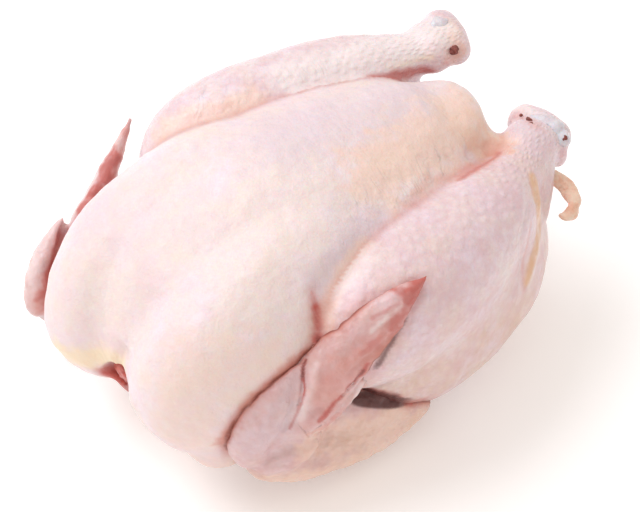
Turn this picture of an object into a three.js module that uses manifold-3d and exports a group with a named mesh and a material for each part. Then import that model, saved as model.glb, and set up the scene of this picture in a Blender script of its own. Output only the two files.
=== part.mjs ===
// A whole raw chicken, drawn and dressed, lying on its back with the breast up.
// Units are millimetres and +Z is up. The neck end faces -Y, the legs and the tail point to +Y, and the
// bird's right side is +X. Every muscle is a sphere stretched along a line. The muscles are joined into one
// solid, the neck notch and the body cavity are cut out of it, and the back is flat where the bird rests.
import * as THREE from "three";
import { mergeVertices } from "three/addons/utils/BufferGeometryUtils.js";
import Module from "manifold-3d";

const wasm = await Module();
wasm.setup();

const vec = (x, y, z) => new THREE.Vector3(x, y, z);

// ---- Driving dimensions --------------------------------------------------------------------------------
// Lines run through the middle of a muscle. They are measured from the point on the table under the neck
// notch, and `width` and `depth` are half sizes at each point of the line.
const SKIN_COLOUR = 0xf1d3c8;
const UP = vec(0, 0, 1);

const TRUNK = {
  line: [vec(0, 0, 40), vec(0, 30, 50), vec(0, 75, 55), vec(0, 118, 56), vec(0, 154, 62), vec(0, 184, 69)],
  width: [32, 52, 60, 57, 42, 23],
  depth: [28, 50, 58, 55, 48, 30],
  fullness: 3.2,
  sides: 32,
  rings: 22,
};

// The hips, which fill the back between the thighs.
const HIPS = {
  line: [vec(0, 108, 34), vec(0, 145, 35), vec(0, 178, 35), vec(0, 196, 34)],
  width: [44, 45, 34, 22],
  depth: [30, 31, 23, 14],
};

// The two lobes of the breast, on either side of the keel.
const BREAST_WIDTH = [25, 30, 33, 28];
const BREAST_DEPTH = [28, 40, 45, 38];
const BREASTS = [
  [vec(28, -5.4, 41), vec(29, 24, 55), vec(25, 70, 65), vec(14, 118, 66)],
  [vec(-22, -5, 37), vec(-27, 26, 54), vec(-24, 70, 65), vec(-14, 118, 66)],
];

// Smaller masses of the trunk: the end of the keel, the fold of skin from there to the right leg, and the
// right shoulder, low under its lobe.
const KEEL_TIP = {
  line: [vec(3, 135, 86), vec(2.5, 158, 88), vec(2.5, 175, 90)],
  width: [26, 21, 14],
  depth: [13, 11, 9],
  fullness: 3.4,
};
const FOLD = {
  line: [vec(8, 164, 83), vec(19, 167.5, 79.5), vec(30, 170, 77)],
  width: [9, 8.5, 8],
  depth: [8, 7, 7],
};
const SHOULDER = {
  line: [vec(14, 19, 27), vec(34, 20.5, 27), vec(50, 25.5, 27)],
  width: [12, 14, 12],
  depth: [14, 16, 14],
};

// The legs aren't held alike: the left shin is held higher. The calf fills the fold between thigh and shin.
const THIGH_WIDTH = [16, 26, 28, 24];
const THIGH_DEPTH = [22, 36, 41, 30];
const CALF_WIDTH = [12, 21, 24.5, 20];
const CALF_DEPTH = [15, 24, 26, 20];
const HOCK_WIDTH = [9, 9.5, 9];
const HOCK_DEPTH = [8.5, 8.5, 8.5];
const COLLAR_WIDTH = [10.5, 12, 12];
const COLLAR_DEPTH = [10, 10, 9];
const LEGS = [
  {
    thigh: [vec(29, 187, 49), vec(43, 150, 45), vec(49, 106, 44), vec(53, 66, 50)],
    calf: [vec(33, 182, 66), vec(44, 148, 61), vec(53, 106, 58), vec(54, 66, 56)],
    knee: [vec(55, 49, 64), vec(57, 74, 68), vec(52, 108, 70)],
    shin: [vec(44.5, 148, 73), vec(33, 178, 76), vec(24, 202, 76)],
    shinWidth: [22, 26, 27, 20.5, 12.5, 16],
    shinDepth: [24, 28, 29, 21.5, 11, 11],
    collar: [vec(33.5, 172, 77), vec(29.5, 183, 78), vec(26, 193, 78)],
    heel: [vec(37, 188, 74), vec(41, 179, 71), vec(46, 173, 68), vec(53, 163.5, 61)],
    heelWidth: [5, 6.5, 7, 8],
    hock: [vec(37.5, 196, 76), vec(24, 194, 75.5), vec(9.5, 191.5, 76)],
    knuckles: [
      { at: vec(31.5, 197, 77), radius: 6 },
      { at: vec(15.5, 194.5, 76.5), radius: 6 },
      { at: vec(36, 193, 71), radius: 4.6 },
    ],
  },
  {
    thigh: [vec(-27, 186, 48), vec(-43, 150, 48), vec(-49, 106, 48), vec(-52, 72, 54)],
    calf: [vec(-32, 182, 70), vec(-42, 148, 66), vec(-50, 108, 64), vec(-52, 72, 62)],
    knee: [vec(-51, 54, 72), vec(-52, 79, 77), vec(-48, 112, 80)],
    shin: [vec(-41, 150, 84), vec(-34, 178, 87), vec(-31, 202, 89)],
    shinWidth: [24, 27, 23.5, 18, 11, 15],
    shinDepth: [24, 27, 26, 19, 11, 11],
    collar: [vec(-32.5, 174, 87), vec(-32, 183, 88), vec(-32, 191, 88.5)],
    heel: [vec(-39, 186, 86), vec(-44, 177, 83), vec(-48, 166, 78)],
    heelWidth: [5, 6, 8],
    hock: [vec(-44.5, 195.5, 90.5), vec(-31.5, 192, 88.5), vec(-20, 189.5, 86)],
    knuckles: [
      { at: vec(-38.5, 196.5, 89.5), radius: 6 },
      { at: vec(-24.5, 192.5, 87), radius: 6 },
    ],
  },
];

// The wings are folded: the forearm runs forward along the table, and the hand lies back up the side.
const UPPER_ARM = [20, 17, 11];
const FOREARM_WIDTH = [8, 13, 14];
const FOREARM_DEPTH = [8, 13, 14];
const THUMB_WIDTH = [10.5, 9.5, 2];
const THUMB_DEPTH = [10, 7, 2];
const WINGS = [
  {
    upperArm: [vec(38, 28, 44), vec(52, 65, 29.5), vec(66, 102, 15)],
    forearm: [vec(66, 102, 15), vec(60, 62, 19), vec(54, 20, 28)],
    hand: [vec(56, 22, 31), vec(64.5, 46, 61), vec(71, 75, 88), vec(71, 94, 96)],
    handWidth: [14, 12.5, 8.2, 1.6],
    handDepth: [13, 8.5, 5.5, 1.5],
    thumb: [vec(55, 21, 30), vec(58.5, 23, 55), vec(60, 43, 74)],
    outward: vec(0.75, -0.3, 0.6),
  },
  {
    upperArm: [vec(-38, 28, 44), vec(-51, 61.5, 30), vec(-64, 95, 16)],
    forearm: [vec(-64, 95, 16), vec(-64, 54, 20), vec(-63, 5, 21)],
    hand: [vec(-63, 5, 21), vec(-68, 24, 38), vec(-75, 50, 63), vec(-80, 68, 83)],
    handWidth: [15, 11.5, 6.4, 1.6],
    handDepth: [11, 6.5, 4.5, 1.6],
    thumb: [vec(-63, 5, 21), vec(-69, 14, 40), vec(-74, 28, 56)],
    outward: vec(-0.85, -0.5, 0.1),
  },
];

// The tail, and the curl of loose skin at the right hock.
const TAIL = {
  line: [vec(0, 164, 32), vec(0, 184, 28), vec(0, 204, 32)],
  width: [26, 20, 12],
  depth: [20, 14, 8],
};
const HOCK_CURL = {
  line: [vec(38, 184, 73), vec(45.5, 187, 67.5), vec(51, 186.5, 66), vec(56, 184, 66), vec(58.5, 178, 65.5)],
  width: [4.5, 3.8, 3.4, 3.2, 2],
  depth: [3.5, 2.2, 2, 2, 1.8],
  across: vec(0.45, -0.3, 0.8),
};

// The cuts: the notch of the neck, and the body cavity, which opens between the legs above the tail.
const NECK_NOTCH = {
  line: [vec(1, -22, 30), vec(1, -4, 38), vec(1, 18, 42)],
  width: [12, 9.5, 7],
  depth: [9, 7.5, 6],
};
const BODY_CAVITY = {
  line: [vec(0, 226, 50), vec(0, 196, 51), vec(0, 162, 53), vec(0, 122, 54)],
  width: [24, 24, 23, 19],
  depth: [15, 15.5, 17, 15],
  fullness: 4,
};

const TABLE_SIZE = 500;
const TABLE_DEPTH = 60;

// ---- Shapes --------------------------------------------------------------------------------------------
// A smooth curve through a list of values, one for each point of a muscle's line.
function profile(values) {
  const curve = new THREE.CatmullRomCurve3(values.map((value, i) => vec(i, value, 0)));
  return (t) => curve.getPoint(t).y;
}

// A muscle: a sphere stretched along its line, with a half width and a half depth at each point. `across` is
// the direction that the depth is measured in, and a larger `fullness` makes the two ends blunter.
function muscle({ line, width, depth, across = UP, fullness = 2.4, sides = 24, rings = 20 }) {
  const curve = new THREE.CatmullRomCurve3(line);
  const halfWidth = profile(width);
  const halfDepth = profile(depth);
  const geometry = new THREE.SphereGeometry(1, sides, rings);
  const position = geometry.getAttribute("position");
  const point = new THREE.Vector3();
  for (let i = 0; i < position.count; i++) {
    point.fromBufferAttribute(position, i);
    const ring = Math.hypot(point.x, point.z) || 1;
    const t = Math.acos(THREE.MathUtils.clamp(point.y, -1, 1)) / Math.PI;
    const round = (1 - Math.abs(2 * t - 1) ** fullness) ** (1 / fullness) || 0;
    const tangent = curve.getTangent(t);
    const side = vec(0, 0, 0).crossVectors(across, tangent).normalize();
    const normal = vec(0, 0, 0).crossVectors(tangent, side);
    const place = curve
      .getPoint(t)
      .addScaledVector(side, (point.x / ring) * round * halfWidth(t))
      .addScaledVector(normal, (point.z / ring) * round * halfDepth(t));
    position.setXYZ(i, place.x, place.y, place.z);
  }
  return geometry;
}

// ---- Parts of the body ---------------------------------------------------------------------------------
function leg({ thigh, calf, knee, shin, shinWidth, shinDepth, collar, heel, heelWidth, hock, knuckles }) {
  return [
    muscle({ line: thigh, width: THIGH_WIDTH, depth: THIGH_DEPTH, sides: 18, rings: 12 }),
    muscle({ line: calf, width: CALF_WIDTH, depth: CALF_DEPTH, sides: 14, rings: 10 }),
    muscle({ line: [...knee, ...shin], width: shinWidth, depth: shinDepth, sides: 19, rings: 19 }),
    muscle({ line: collar, width: COLLAR_WIDTH, depth: COLLAR_DEPTH, sides: 12, rings: 7 }),
    muscle({ line: heel, width: heelWidth, depth: heelWidth, sides: 10, rings: 7 }),
    muscle({ line: hock, width: HOCK_WIDTH, depth: HOCK_DEPTH, sides: 12, rings: 9 }),
    ...knuckles.map(({ at, radius }) => new THREE.SphereGeometry(radius, 10, 7).translate(at.x, at.y, at.z)),
  ];
}

function wing({ upperArm, forearm, hand, handWidth, handDepth, thumb, outward }) {
  return [
    muscle({ line: upperArm, width: UPPER_ARM, depth: UPPER_ARM, sides: 14, rings: 10 }),
    muscle({ line: forearm, width: FOREARM_WIDTH, depth: FOREARM_DEPTH, sides: 14, rings: 12 }),
    muscle({ line: hand, width: handWidth, depth: handDepth, across: outward, sides: 14, rings: 12 }),
    muscle({ line: thumb, width: THUMB_WIDTH, depth: THUMB_DEPTH, across: outward, sides: 12, rings: 10 }),
  ];
}

const masses = [
  muscle(TRUNK),
  muscle({ ...HIPS, sides: 18, rings: 10 }),
  muscle({ ...KEEL_TIP, sides: 18, rings: 11 }),
  muscle({ ...FOLD, sides: 12, rings: 8 }),
  muscle({ ...SHOULDER, sides: 14, rings: 10 }),
  ...BREASTS.map((line) =>
    muscle({ line, width: BREAST_WIDTH, depth: BREAST_DEPTH, fullness: 2.6, sides: 20, rings: 16 }),
  ),
  ...LEGS.flatMap(leg),
  ...WINGS.flatMap(wing),
  muscle({ ...TAIL, sides: 16, rings: 10 }),
  muscle({ ...HOCK_CURL, sides: 10, rings: 10 }),
];
const cuts = [
  muscle({ ...NECK_NOTCH, sides: 16, rings: 10 }),
  muscle({ ...BODY_CAVITY, sides: 24, rings: 14 }),
  new THREE.BoxGeometry(TABLE_SIZE, TABLE_SIZE, TABLE_DEPTH).translate(0, 100, -TABLE_DEPTH / 2),
];

// ---- The whole bird ------------------------------------------------------------------------------------
// A geometry as a manifold-3d solid, with the vertices that share a place made one.
function solid(geometry) {
  geometry.deleteAttribute("normal");
  geometry.deleteAttribute("uv");
  const merged = mergeVertices(geometry, 1e-4);
  return new wasm.Manifold(
    new wasm.Mesh({
      numProp: 3,
      vertProperties: merged.getAttribute("position").array,
      triVerts: new Uint32Array(merged.index.array),
    }),
  );
}

function geometryOf(manifold) {
  const mesh = manifold.getMesh();
  return new THREE.BufferGeometry()
    .setAttribute("position", new THREE.BufferAttribute(mesh.vertProperties, 3))
    .setIndex(new THREE.BufferAttribute(mesh.triVerts, 1));
}

const joined = masses.map(solid).reduce((whole, mass) => whole.add(mass));
const carcass = cuts.map(solid).reduce((rest, cut) => rest.subtract(cut), joined);

// The origin is the middle of the bird's plan, on the table.
const geometry = geometryOf(carcass);
geometry.computeBoundingBox();
const middle = geometry.boundingBox.getCenter(new THREE.Vector3());
geometry.translate(-middle.x, -middle.y, 0);

const chicken = new THREE.Mesh(
  geometry,
  new THREE.MeshStandardMaterial({ color: SKIN_COLOUR, roughness: 0.45, metalness: 0 }),
);
chicken.name = "chicken";

const group = new THREE.Group();
group.add(chicken);
export default group;
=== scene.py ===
"""A whole raw chicken on its back, breast up, on a plain pale floor.

The bird's own measurements are in millimetres, from the point on the floor under its neck notch: +X is its
right side, +Y runs to the legs and the tail, and +Z is up. Everything is moved to the frame, in metres,
when it is made.
"""

import logging
import math
from collections.abc import Iterable, Sequence
from dataclasses import dataclass, field
from enum import Enum
from functools import lru_cache

import bmesh
import bpy
import numpy as np
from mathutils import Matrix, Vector, noise
from mathutils.bvhtree import BVHTree

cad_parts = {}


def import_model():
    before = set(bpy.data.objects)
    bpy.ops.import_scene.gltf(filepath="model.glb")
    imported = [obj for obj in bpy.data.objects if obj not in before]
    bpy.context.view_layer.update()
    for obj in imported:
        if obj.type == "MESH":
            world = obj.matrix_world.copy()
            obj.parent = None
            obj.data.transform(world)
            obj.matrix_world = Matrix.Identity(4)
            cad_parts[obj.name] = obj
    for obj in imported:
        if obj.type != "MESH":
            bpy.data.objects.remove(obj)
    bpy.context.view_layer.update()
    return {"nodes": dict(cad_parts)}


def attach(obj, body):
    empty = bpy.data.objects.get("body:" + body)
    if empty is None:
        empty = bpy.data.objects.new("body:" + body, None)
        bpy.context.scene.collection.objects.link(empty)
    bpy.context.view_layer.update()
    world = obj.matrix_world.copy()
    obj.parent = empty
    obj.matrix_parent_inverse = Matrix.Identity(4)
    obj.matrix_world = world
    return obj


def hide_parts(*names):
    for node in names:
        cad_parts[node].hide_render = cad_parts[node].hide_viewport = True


log = logging.getLogger("chicken")

Point = tuple[float, float, float]
Colour = tuple[float, float, float]

MM = 0.001
MIDDLE = Vector((0.03, 97.4, 0.0))  # the frame's origin, in the bird's own measurements


def to_frame(point: Sequence[float]) -> Vector:
    """Return a point of the bird, in millimetres, as a place in the frame, in metres."""
    return (Vector(point) - MIDDLE) * MM


# ---- Lines and muscles -------------------------------------------------------------------------------------


class Spline:
    """A smooth open line through points, which spreads its speed by their distances."""

    def __init__(self, points: Sequence[Sequence[float]]) -> None:
        """Keep the points, with one more beyond each end.

        Args:
            points: the points that the line passes through, in order.
        """
        inner = [Vector(point) for point in points]
        first = inner[0] * 2 - inner[1]
        last = inner[-1] * 2 - inner[-2]
        self.points = [first, *inner, last]
        self.spans = len(inner) - 1

    def at(self, t: float) -> Vector:
        """Return the place at t, which runs from 0 at the first point to 1 at the last.

        Args:
            t: how far along the line.

        Returns:
            The place there.
        """
        where = min(max(t, 0.0), 1.0) * self.spans
        span = min(int(where), self.spans - 1)
        w = where - span
        p0, p1, p2, p3 = self.points[span : span + 4]
        d0, d1, d2 = (max((b - a).length ** 0.5, 1e-4) for a, b in ((p0, p1), (p1, p2), (p2, p3)))
        leave = ((p1 - p0) / d0 - (p2 - p0) / (d0 + d1) + (p2 - p1) / d1) * d1
        arrive = ((p2 - p1) / d1 - (p3 - p1) / (d1 + d2) + (p3 - p2) / d2) * d1
        c2 = (p2 - p1) * 3 - leave * 2 - arrive
        c3 = (p1 - p2) * 2 + leave + arrive
        return p1 + leave * w + c2 * w**2 + c3 * w**3

    def tangent(self, t: float) -> Vector:
        """Return the direction of the line at t, of length 1."""
        step = 1e-3
        return (self.at(t + step) - self.at(t - step)).normalized()

    def samples(self, count: int) -> np.ndarray:
        """Return evenly stepped points of the line as an array of count rows."""
        return np.array([self.at(i / (count - 1)) for i in range(count)])


@dataclass(frozen=True)
class Muscle:
    """A ball stretched along a line.

    Attributes:
        line: points through the middle of the muscle.
        width: half widths at those points.
        depth: half depths at those points, measured along across.
        across: the direction of the depth.
        fullness: how blunt the ends are, 2 for a ball.
    """

    line: tuple[Point, ...]
    width: tuple[float, ...]
    depth: tuple[float, ...]
    across: Point = (0.0, 0.0, 1.0)
    fullness: float = 2.4

    def grow(self, mesh: bmesh.types.BMesh, around: int = 40, along: int = 40) -> None:
        """Add the muscle to a mesh, in the frame.

        Args:
            mesh: the mesh that gets the muscle.
            around: faces round the muscle.
            along: faces from end to end.
        """
        middle = Spline(self.line)
        half_width = Spline([(i, value, 0) for i, value in enumerate(self.width)])
        half_depth = Spline([(i, value, 0) for i, value in enumerate(self.depth)])

        @lru_cache(maxsize=None)
        def ring(step: int) -> tuple[Vector, Vector, Vector]:
            """Return the middle of one ring of points, and its half width and half depth as directions."""
            t = step / along
            taper = max(1 - abs(2 * t - 1) ** self.fullness, 0.0) ** (1 / self.fullness)
            tangent = middle.tangent(t)
            side = Vector(self.across).cross(tangent).normalized()
            normal = tangent.cross(side)
            return middle.at(t), side * taper * half_width.at(t).y, normal * taper * half_depth.at(t).y

        ball = bmesh.ops.create_uvsphere(mesh, u_segments=around, v_segments=along, radius=1.0)
        for vert in ball["verts"]:
            step = round(math.acos(min(max(vert.co.z, -1.0), 1.0)) / math.pi * along)
            reach = math.hypot(vert.co.x, vert.co.y) or 1.0
            centre, side, normal = ring(step)
            vert.co = to_frame(centre + side * (vert.co.x / reach) + normal * (vert.co.y / reach))


# ---- Making objects ----------------------------------------------------------------------------------------


def make_object(name: str, mesh: bmesh.types.BMesh) -> bpy.types.Object:
    """Turn a mesh under construction into an object of the scene, with its faces outwards.

    Args:
        name: the piece's name.
        mesh: the mesh, which is used up.

    Returns:
        The new object.
    """
    mesh.normal_update()
    bmesh.ops.recalc_face_normals(mesh, faces=mesh.faces)
    data = bpy.data.meshes.new(name)
    mesh.to_mesh(data)
    mesh.free()
    for polygon in data.polygons:
        polygon.use_smooth = True
    piece = bpy.data.objects.new(name, data)
    bpy.context.scene.collection.objects.link(piece)
    return piece


def drop(piece: bpy.types.Object) -> None:
    """Remove an object and its mesh from the file."""
    data = piece.data
    bpy.data.objects.remove(piece)
    bpy.data.meshes.remove(data)


def settle(piece: bpy.types.Object) -> None:
    """Apply an object's modifiers, so that its mesh is the finished shape."""
    graph = bpy.context.evaluated_depsgraph_get()
    finished = bpy.data.meshes.new_from_object(piece.evaluated_get(graph))
    rough = piece.data
    piece.modifiers.clear()
    piece.data = finished
    bpy.data.meshes.remove(rough)


def melt(
    name: str,
    muscles: Iterable[Muscle],
    voxel: float,
    rounds: int,
    parts: Iterable[bpy.types.Object] = (),
    cuts: Iterable[Muscle] = (),
) -> bpy.types.Object:
    """Join muscles and finished parts into one closed shape, and soften the folds between them.

    Args:
        name: the new object's name.
        muscles: the muscles that it is made of.
        voxel: the size of its faces, in millimetres.
        rounds: how often it is smoothed. More rounds blend wider folds.
        parts: objects that become part of it and are used up.
        cuts: muscle shapes that are taken out of the joined shape.

    Returns:
        The new object.
    """
    mesh = bmesh.new()
    for muscle in muscles:
        muscle.grow(mesh)
    for part in parts:
        mesh.from_mesh(part.data)
        drop(part)
    body = make_object(name, mesh)
    remesh = body.modifiers.new("join", "REMESH")
    remesh.mode = "VOXEL"
    remesh.voxel_size = voxel * MM
    settle(body)
    cutters = []
    for i, cut in enumerate(cuts):
        shape = bmesh.new()
        cut.grow(shape)
        cutters.append(make_object(f"{name}_cut_{i}", shape))
        knife = body.modifiers.new("cut", "BOOLEAN")
        knife.operation = "DIFFERENCE"
        knife.object = cutters[-1]
    if cutters:
        settle(body)
        for cutter in cutters:
            drop(cutter)
        again = body.modifiers.new("join", "REMESH")
        again.mode = "VOXEL"
        again.voxel_size = voxel * MM
        settle(body)
    if rounds:
        soften = body.modifiers.new("soften", "SMOOTH")
        soften.factor = 0.5
        soften.iterations = rounds
        settle(body)
    return body


# ---- Parts of the body -------------------------------------------------------------------------------------


@dataclass(frozen=True)
class Torso:
    """The trunk, the breast lobes, the hips and the tail, and the two openings that are cut in it later."""

    trunk: Muscle = Muscle(
        line=((0, 0, 40), (0, 30, 50), (0, 75, 55), (0, 118, 56), (0, 154, 62), (0, 184, 69)),
        width=(32, 52, 60, 57, 42, 23),
        depth=(28, 50, 58, 55, 48, 30),
        fullness=3.2,
    )
    right_breast: Muscle = Muscle(
        line=((28, -5, 41), (29, 24, 55), (25, 70, 65), (14, 118, 66)),
        width=(25, 30, 33, 28),
        depth=(28, 40, 45, 38),
        fullness=2.6,
    )
    left_breast: Muscle = Muscle(
        line=((-20.5, -6, 34.8), (-27, 26, 53.5), (-24, 70, 65), (-14, 118, 66)),
        width=(25, 30, 33, 28),
        depth=(28, 40, 45, 38),
        fullness=2.6,
    )
    hips: Muscle = Muscle(
        line=((0, 108, 34), (0, 145, 35), (0, 178, 35), (0, 196, 34)),
        width=(44, 45, 34, 22),
        depth=(30, 31, 23, 14),
    )
    tail: Muscle = Muscle(
        line=((0, 164, 32), (0, 184, 28), (0, 204, 32)),
        width=(26, 20, 12),
        depth=(20, 14, 8),
    )
    keel_tip: Muscle = Muscle(
        line=((3, 135, 86), (2.5, 158, 88), (2.5, 175, 90)),
        width=(26, 21, 14),
        depth=(13, 11, 9),
        fullness=3.4,
    )
    shoulder: Muscle = Muscle(
        line=((14, 24, 32), (34, 24, 32), (50, 28, 32)),
        width=(16, 18, 16),
        depth=(17, 19, 17),
    )
    fold: Muscle = Muscle(
        line=((8, 164, 83), (19, 167.5, 79.5), (30, 170, 77)),
        width=(9, 8.5, 8),
        depth=(8, 7, 7),
    )
    neck_notch: Muscle = Muscle(
        line=((0.5, -16, 43), (0.5, -3, 45.5), (1, 14, 46)),
        width=(12, 10, 8),
        depth=(5.5, 5, 4.5),
        across=(-0.6, 0.0, 0.8),
    )
    body_cavity: Muscle = Muscle(
        line=((0, 226, 50), (0, 196, 51), (0, 162, 53), (0, 122, 54)),
        width=(24, 24, 23, 19),
        depth=(15, 15.5, 17, 15),
        fullness=4,
    )

    def build(self) -> bpy.types.Object:
        """Return the torso as one smooth shape, still closed."""
        lobes = (self.right_breast, self.left_breast, self.keel_tip, self.shoulder, self.fold)
        return melt("torso", (self.trunk, self.hips, self.tail, *lobes), voxel=2.2, rounds=12)


def ball(centre: Point, radius: float) -> Muscle:
    """Return a round muscle."""
    x, y, z = centre
    line = ((x, y - radius, z), (x, y, z), (x, y + radius, z))
    return Muscle(line, (radius, radius, radius), (radius, radius, radius), fullness=2)


@dataclass(frozen=True)
class Leg:
    """One leg, folded back so that its thigh and drumstick read as one drop, with the cut hock at its end.

    Attributes:
        side: +1 for the bird's right leg, -1 for its left.
        thigh: the thigh, against the trunk.
        calf: the mass that fills the fold between the thigh and the drumstick.
        drumstick: the drumstick, from the knee to the hock.
        collar: the skin gathered round the shank, just before the hock.
        hock: the joint's head, across the end of the drumstick.
        knuckles: the middle and the radius of each knob of the joint.
        heel: the mass behind the shank, which carries the sinew.
    """

    side: int
    thigh: Muscle
    calf: Muscle
    drumstick: Muscle
    collar: Muscle
    hock: Muscle
    knuckles: tuple[tuple[Point, float], ...]
    heel: Muscle

    def build(self) -> bpy.types.Object:
        """Return the leg as one smooth shape, with a firmer hock."""
        name = "right_leg" if self.side > 0 else "left_leg"
        knobs = [ball(centre, radius) for centre, radius in self.knuckles]
        ham = melt(name + "_ham", (self.thigh, self.calf, self.drumstick), voxel=1.7, rounds=36)
        return melt(name, (self.collar, self.heel, self.hock, *knobs), voxel=1.2, rounds=12, parts=(ham,))


THIGH_WIDTH = (16, 26, 28, 24)
THIGH_DEPTH = (22, 36, 41, 30)
CALF_WIDTH = (12, 21, 24.5, 20)
CALF_DEPTH = (15, 24, 26, 20)
HOCK_WIDTH = (9, 9.5, 9)
HOCK_DEPTH = (8.5, 8.5, 8.5)


def right_leg() -> Leg:
    """Return the bird's right leg."""
    return Leg(
        side=1,
        thigh=Muscle(((29, 187, 49), (43, 150, 45), (49, 106, 44), (53, 66, 50)), THIGH_WIDTH, THIGH_DEPTH),
        calf=Muscle(((33, 182, 66), (44, 148, 61), (53, 106, 58), (54, 66, 56)), CALF_WIDTH, CALF_DEPTH),
        drumstick=Muscle(
            ((54, 48, 65.5), (56, 73, 69), (52, 108, 70), (44.5, 148, 73), (33, 178, 76), (24, 202, 76)),
            (24, 27, 27, 20.5, 12.5, 16),
            (27, 30, 29, 21.5, 11, 11),
        ),
        collar=Muscle(((33.5, 172, 77), (29.5, 183, 78), (26, 193, 78)), (10.5, 12, 12), (10, 10, 9)),
        hock=Muscle(((37.5, 196, 76), (24, 194, 75.5), (9.5, 191.5, 76)), HOCK_WIDTH, HOCK_DEPTH),
        knuckles=(((31.5, 197, 77), 6.0), ((15.5, 194.5, 76.5), 6.0), ((36, 193, 71), 4.6)),
        heel=Muscle(
            ((37, 188, 74), (41, 179, 71), (46, 172, 68), (54, 162, 60)),
            (5, 6.5, 7, 9),
            (5, 6.5, 7, 9),
        ),
    )


def left_leg() -> Leg:
    """Return the bird's left leg, whose drumstick is held a little higher."""
    return Leg(
        side=-1,
        thigh=Muscle(
            ((-27, 186, 48), (-43, 150, 48), (-49, 106, 48), (-52, 72, 54)),
            THIGH_WIDTH,
            THIGH_DEPTH,
        ),
        calf=Muscle(((-32, 182, 70), (-42, 148, 66), (-50, 108, 64), (-52, 72, 62)), CALF_WIDTH, CALF_DEPTH),
        drumstick=Muscle(
            ((-51, 54, 72), (-52, 79, 77), (-48, 112, 80), (-41, 150, 84), (-34, 178, 87), (-31, 202, 89)),
            (24, 27, 23.5, 18, 11, 15),
            (24, 27, 26, 19, 11, 11),
        ),
        collar=Muscle(((-32.5, 174, 87), (-32, 183, 88), (-32, 191, 88.5)), (11, 12, 12), (10, 10, 9)),
        hock=Muscle(((-44.5, 195.5, 90.5), (-31.5, 192, 88.5), (-20, 189.5, 86)), HOCK_WIDTH, HOCK_DEPTH),
        knuckles=(((-38.5, 196.5, 89.5), 6.0), ((-24.5, 192.5, 87), 6.0)),
        heel=Muscle(((-39, 186, 86), (-44, 177, 83), (-48, 166, 78)), (5, 6, 8), (5, 6, 8)),
    )


@dataclass(frozen=True)
class Wing:
    """One folded wing: the forearm runs forward along the floor, and the hand lies back up the side.

    Attributes:
        side: +1 for the bird's right wing, -1 for its left.
        upper_arm: from the shoulder to the elbow, mostly under the leg.
        forearm: from the elbow forward to the wrist.
        hand: the flat hand, from the wrist to the tip.
        thumb: the short lobe beside the hand.
        web: the loose skin between the forearm and the hand.
        edge: the rolled skin along the hand's back edge.
        cuts: shapes that are taken out of the wing.
    """

    side: int
    upper_arm: Muscle
    forearm: Muscle
    hand: Muscle
    thumb: Muscle
    web: Muscle
    edge: Muscle
    cuts: tuple[Muscle, ...] = ()

    def build(self) -> bpy.types.Object:
        """Return the wing as one shape, softened only a little so that its folds stay."""
        name = "right_wing_skin" if self.side > 0 else "left_wing_skin"
        thick = melt(name + "_core", (self.upper_arm, self.forearm, self.web), voxel=1.3, rounds=14)
        thin = (self.hand, self.thumb, self.edge)
        return melt(name, thin, voxel=0.75, rounds=5, parts=(thick,), cuts=self.cuts)


UPPER_ARM = (20, 17, 11)
# where the right thumb lies on the hand, and the slit under the hand's rolled edge
THUMB_LINE = ((60, 43.5, 76), (63, 41, 70.5), (66.5, 38, 66), (67.5, 34.5, 59), (67.5, 31, 53))
SLIT = ((76, 61, 74), (75, 55, 67), (74, 48, 61), (72, 42, 54))
# the deep fold between the right thigh and the forearm
GAP = ((64.5, 60, 47), (66.5, 65, 43), (68, 71, 39), (69.5, 80, 33), (71, 88, 28.5), (72.5, 94, 25))
GAP_SIZE = (2.0, 2.8, 2.4, 1.7, 1.1, 0.6)


def right_wing() -> Wing:
    """Return the bird's right wing."""
    outward = (0.75, -0.3, 0.6)
    return Wing(
        side=1,
        upper_arm=Muscle(((38, 28, 44), (52, 65, 29.5), (66, 102, 15)), UPPER_ARM, UPPER_ARM),
        forearm=Muscle(((66, 102, 15), (60, 62, 19), (54, 20, 28)), (8, 13, 14), (8, 13, 14)),
        hand=Muscle(
            ((56, 22, 31), (63.5, 45, 61), (70, 74, 87.5), (70.5, 94, 96)),
            (14, 12.5, 8.2, 1.6),
            (13, 8.5, 5.5, 1.5),
            outward,
        ),
        thumb=Muscle(((55, 21, 30), (58.5, 23, 55), (60, 43, 74)), (10.5, 9.5, 2), (10, 7, 2), outward),
        web=Muscle(((58, 20, 30), (64, 34, 38), (66, 48, 40)), (8, 9, 5), (8, 7, 4), outward),
        edge=Muscle(
            (
                (66, 36, 38),
                (68.5, 44, 45),
                (70, 53, 52),
                (71.5, 61, 61),
                (73, 69, 71.5),
                (73.5, 77, 81),
                (72.5, 85, 88),
            ),
            (2.4, 2.6, 2.4, 2.2, 2, 1.8, 1),
            (2.8, 3.4, 3.6, 3.2, 2.8, 2.2, 1),
            outward,
        ),
        cuts=(
            Muscle(GAP, GAP_SIZE, GAP_SIZE),
            Muscle(THUMB_LINE, (0.6, 0.8, 0.9, 0.8, 0.5), (2.4, 3.0, 2.6, 2.2, 1.6), outward),
            Muscle(SLIT, (0.5, 1.0, 0.8, 0.5), (2.0, 3.2, 2.6, 1.6), outward),
        ),
    )


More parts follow.
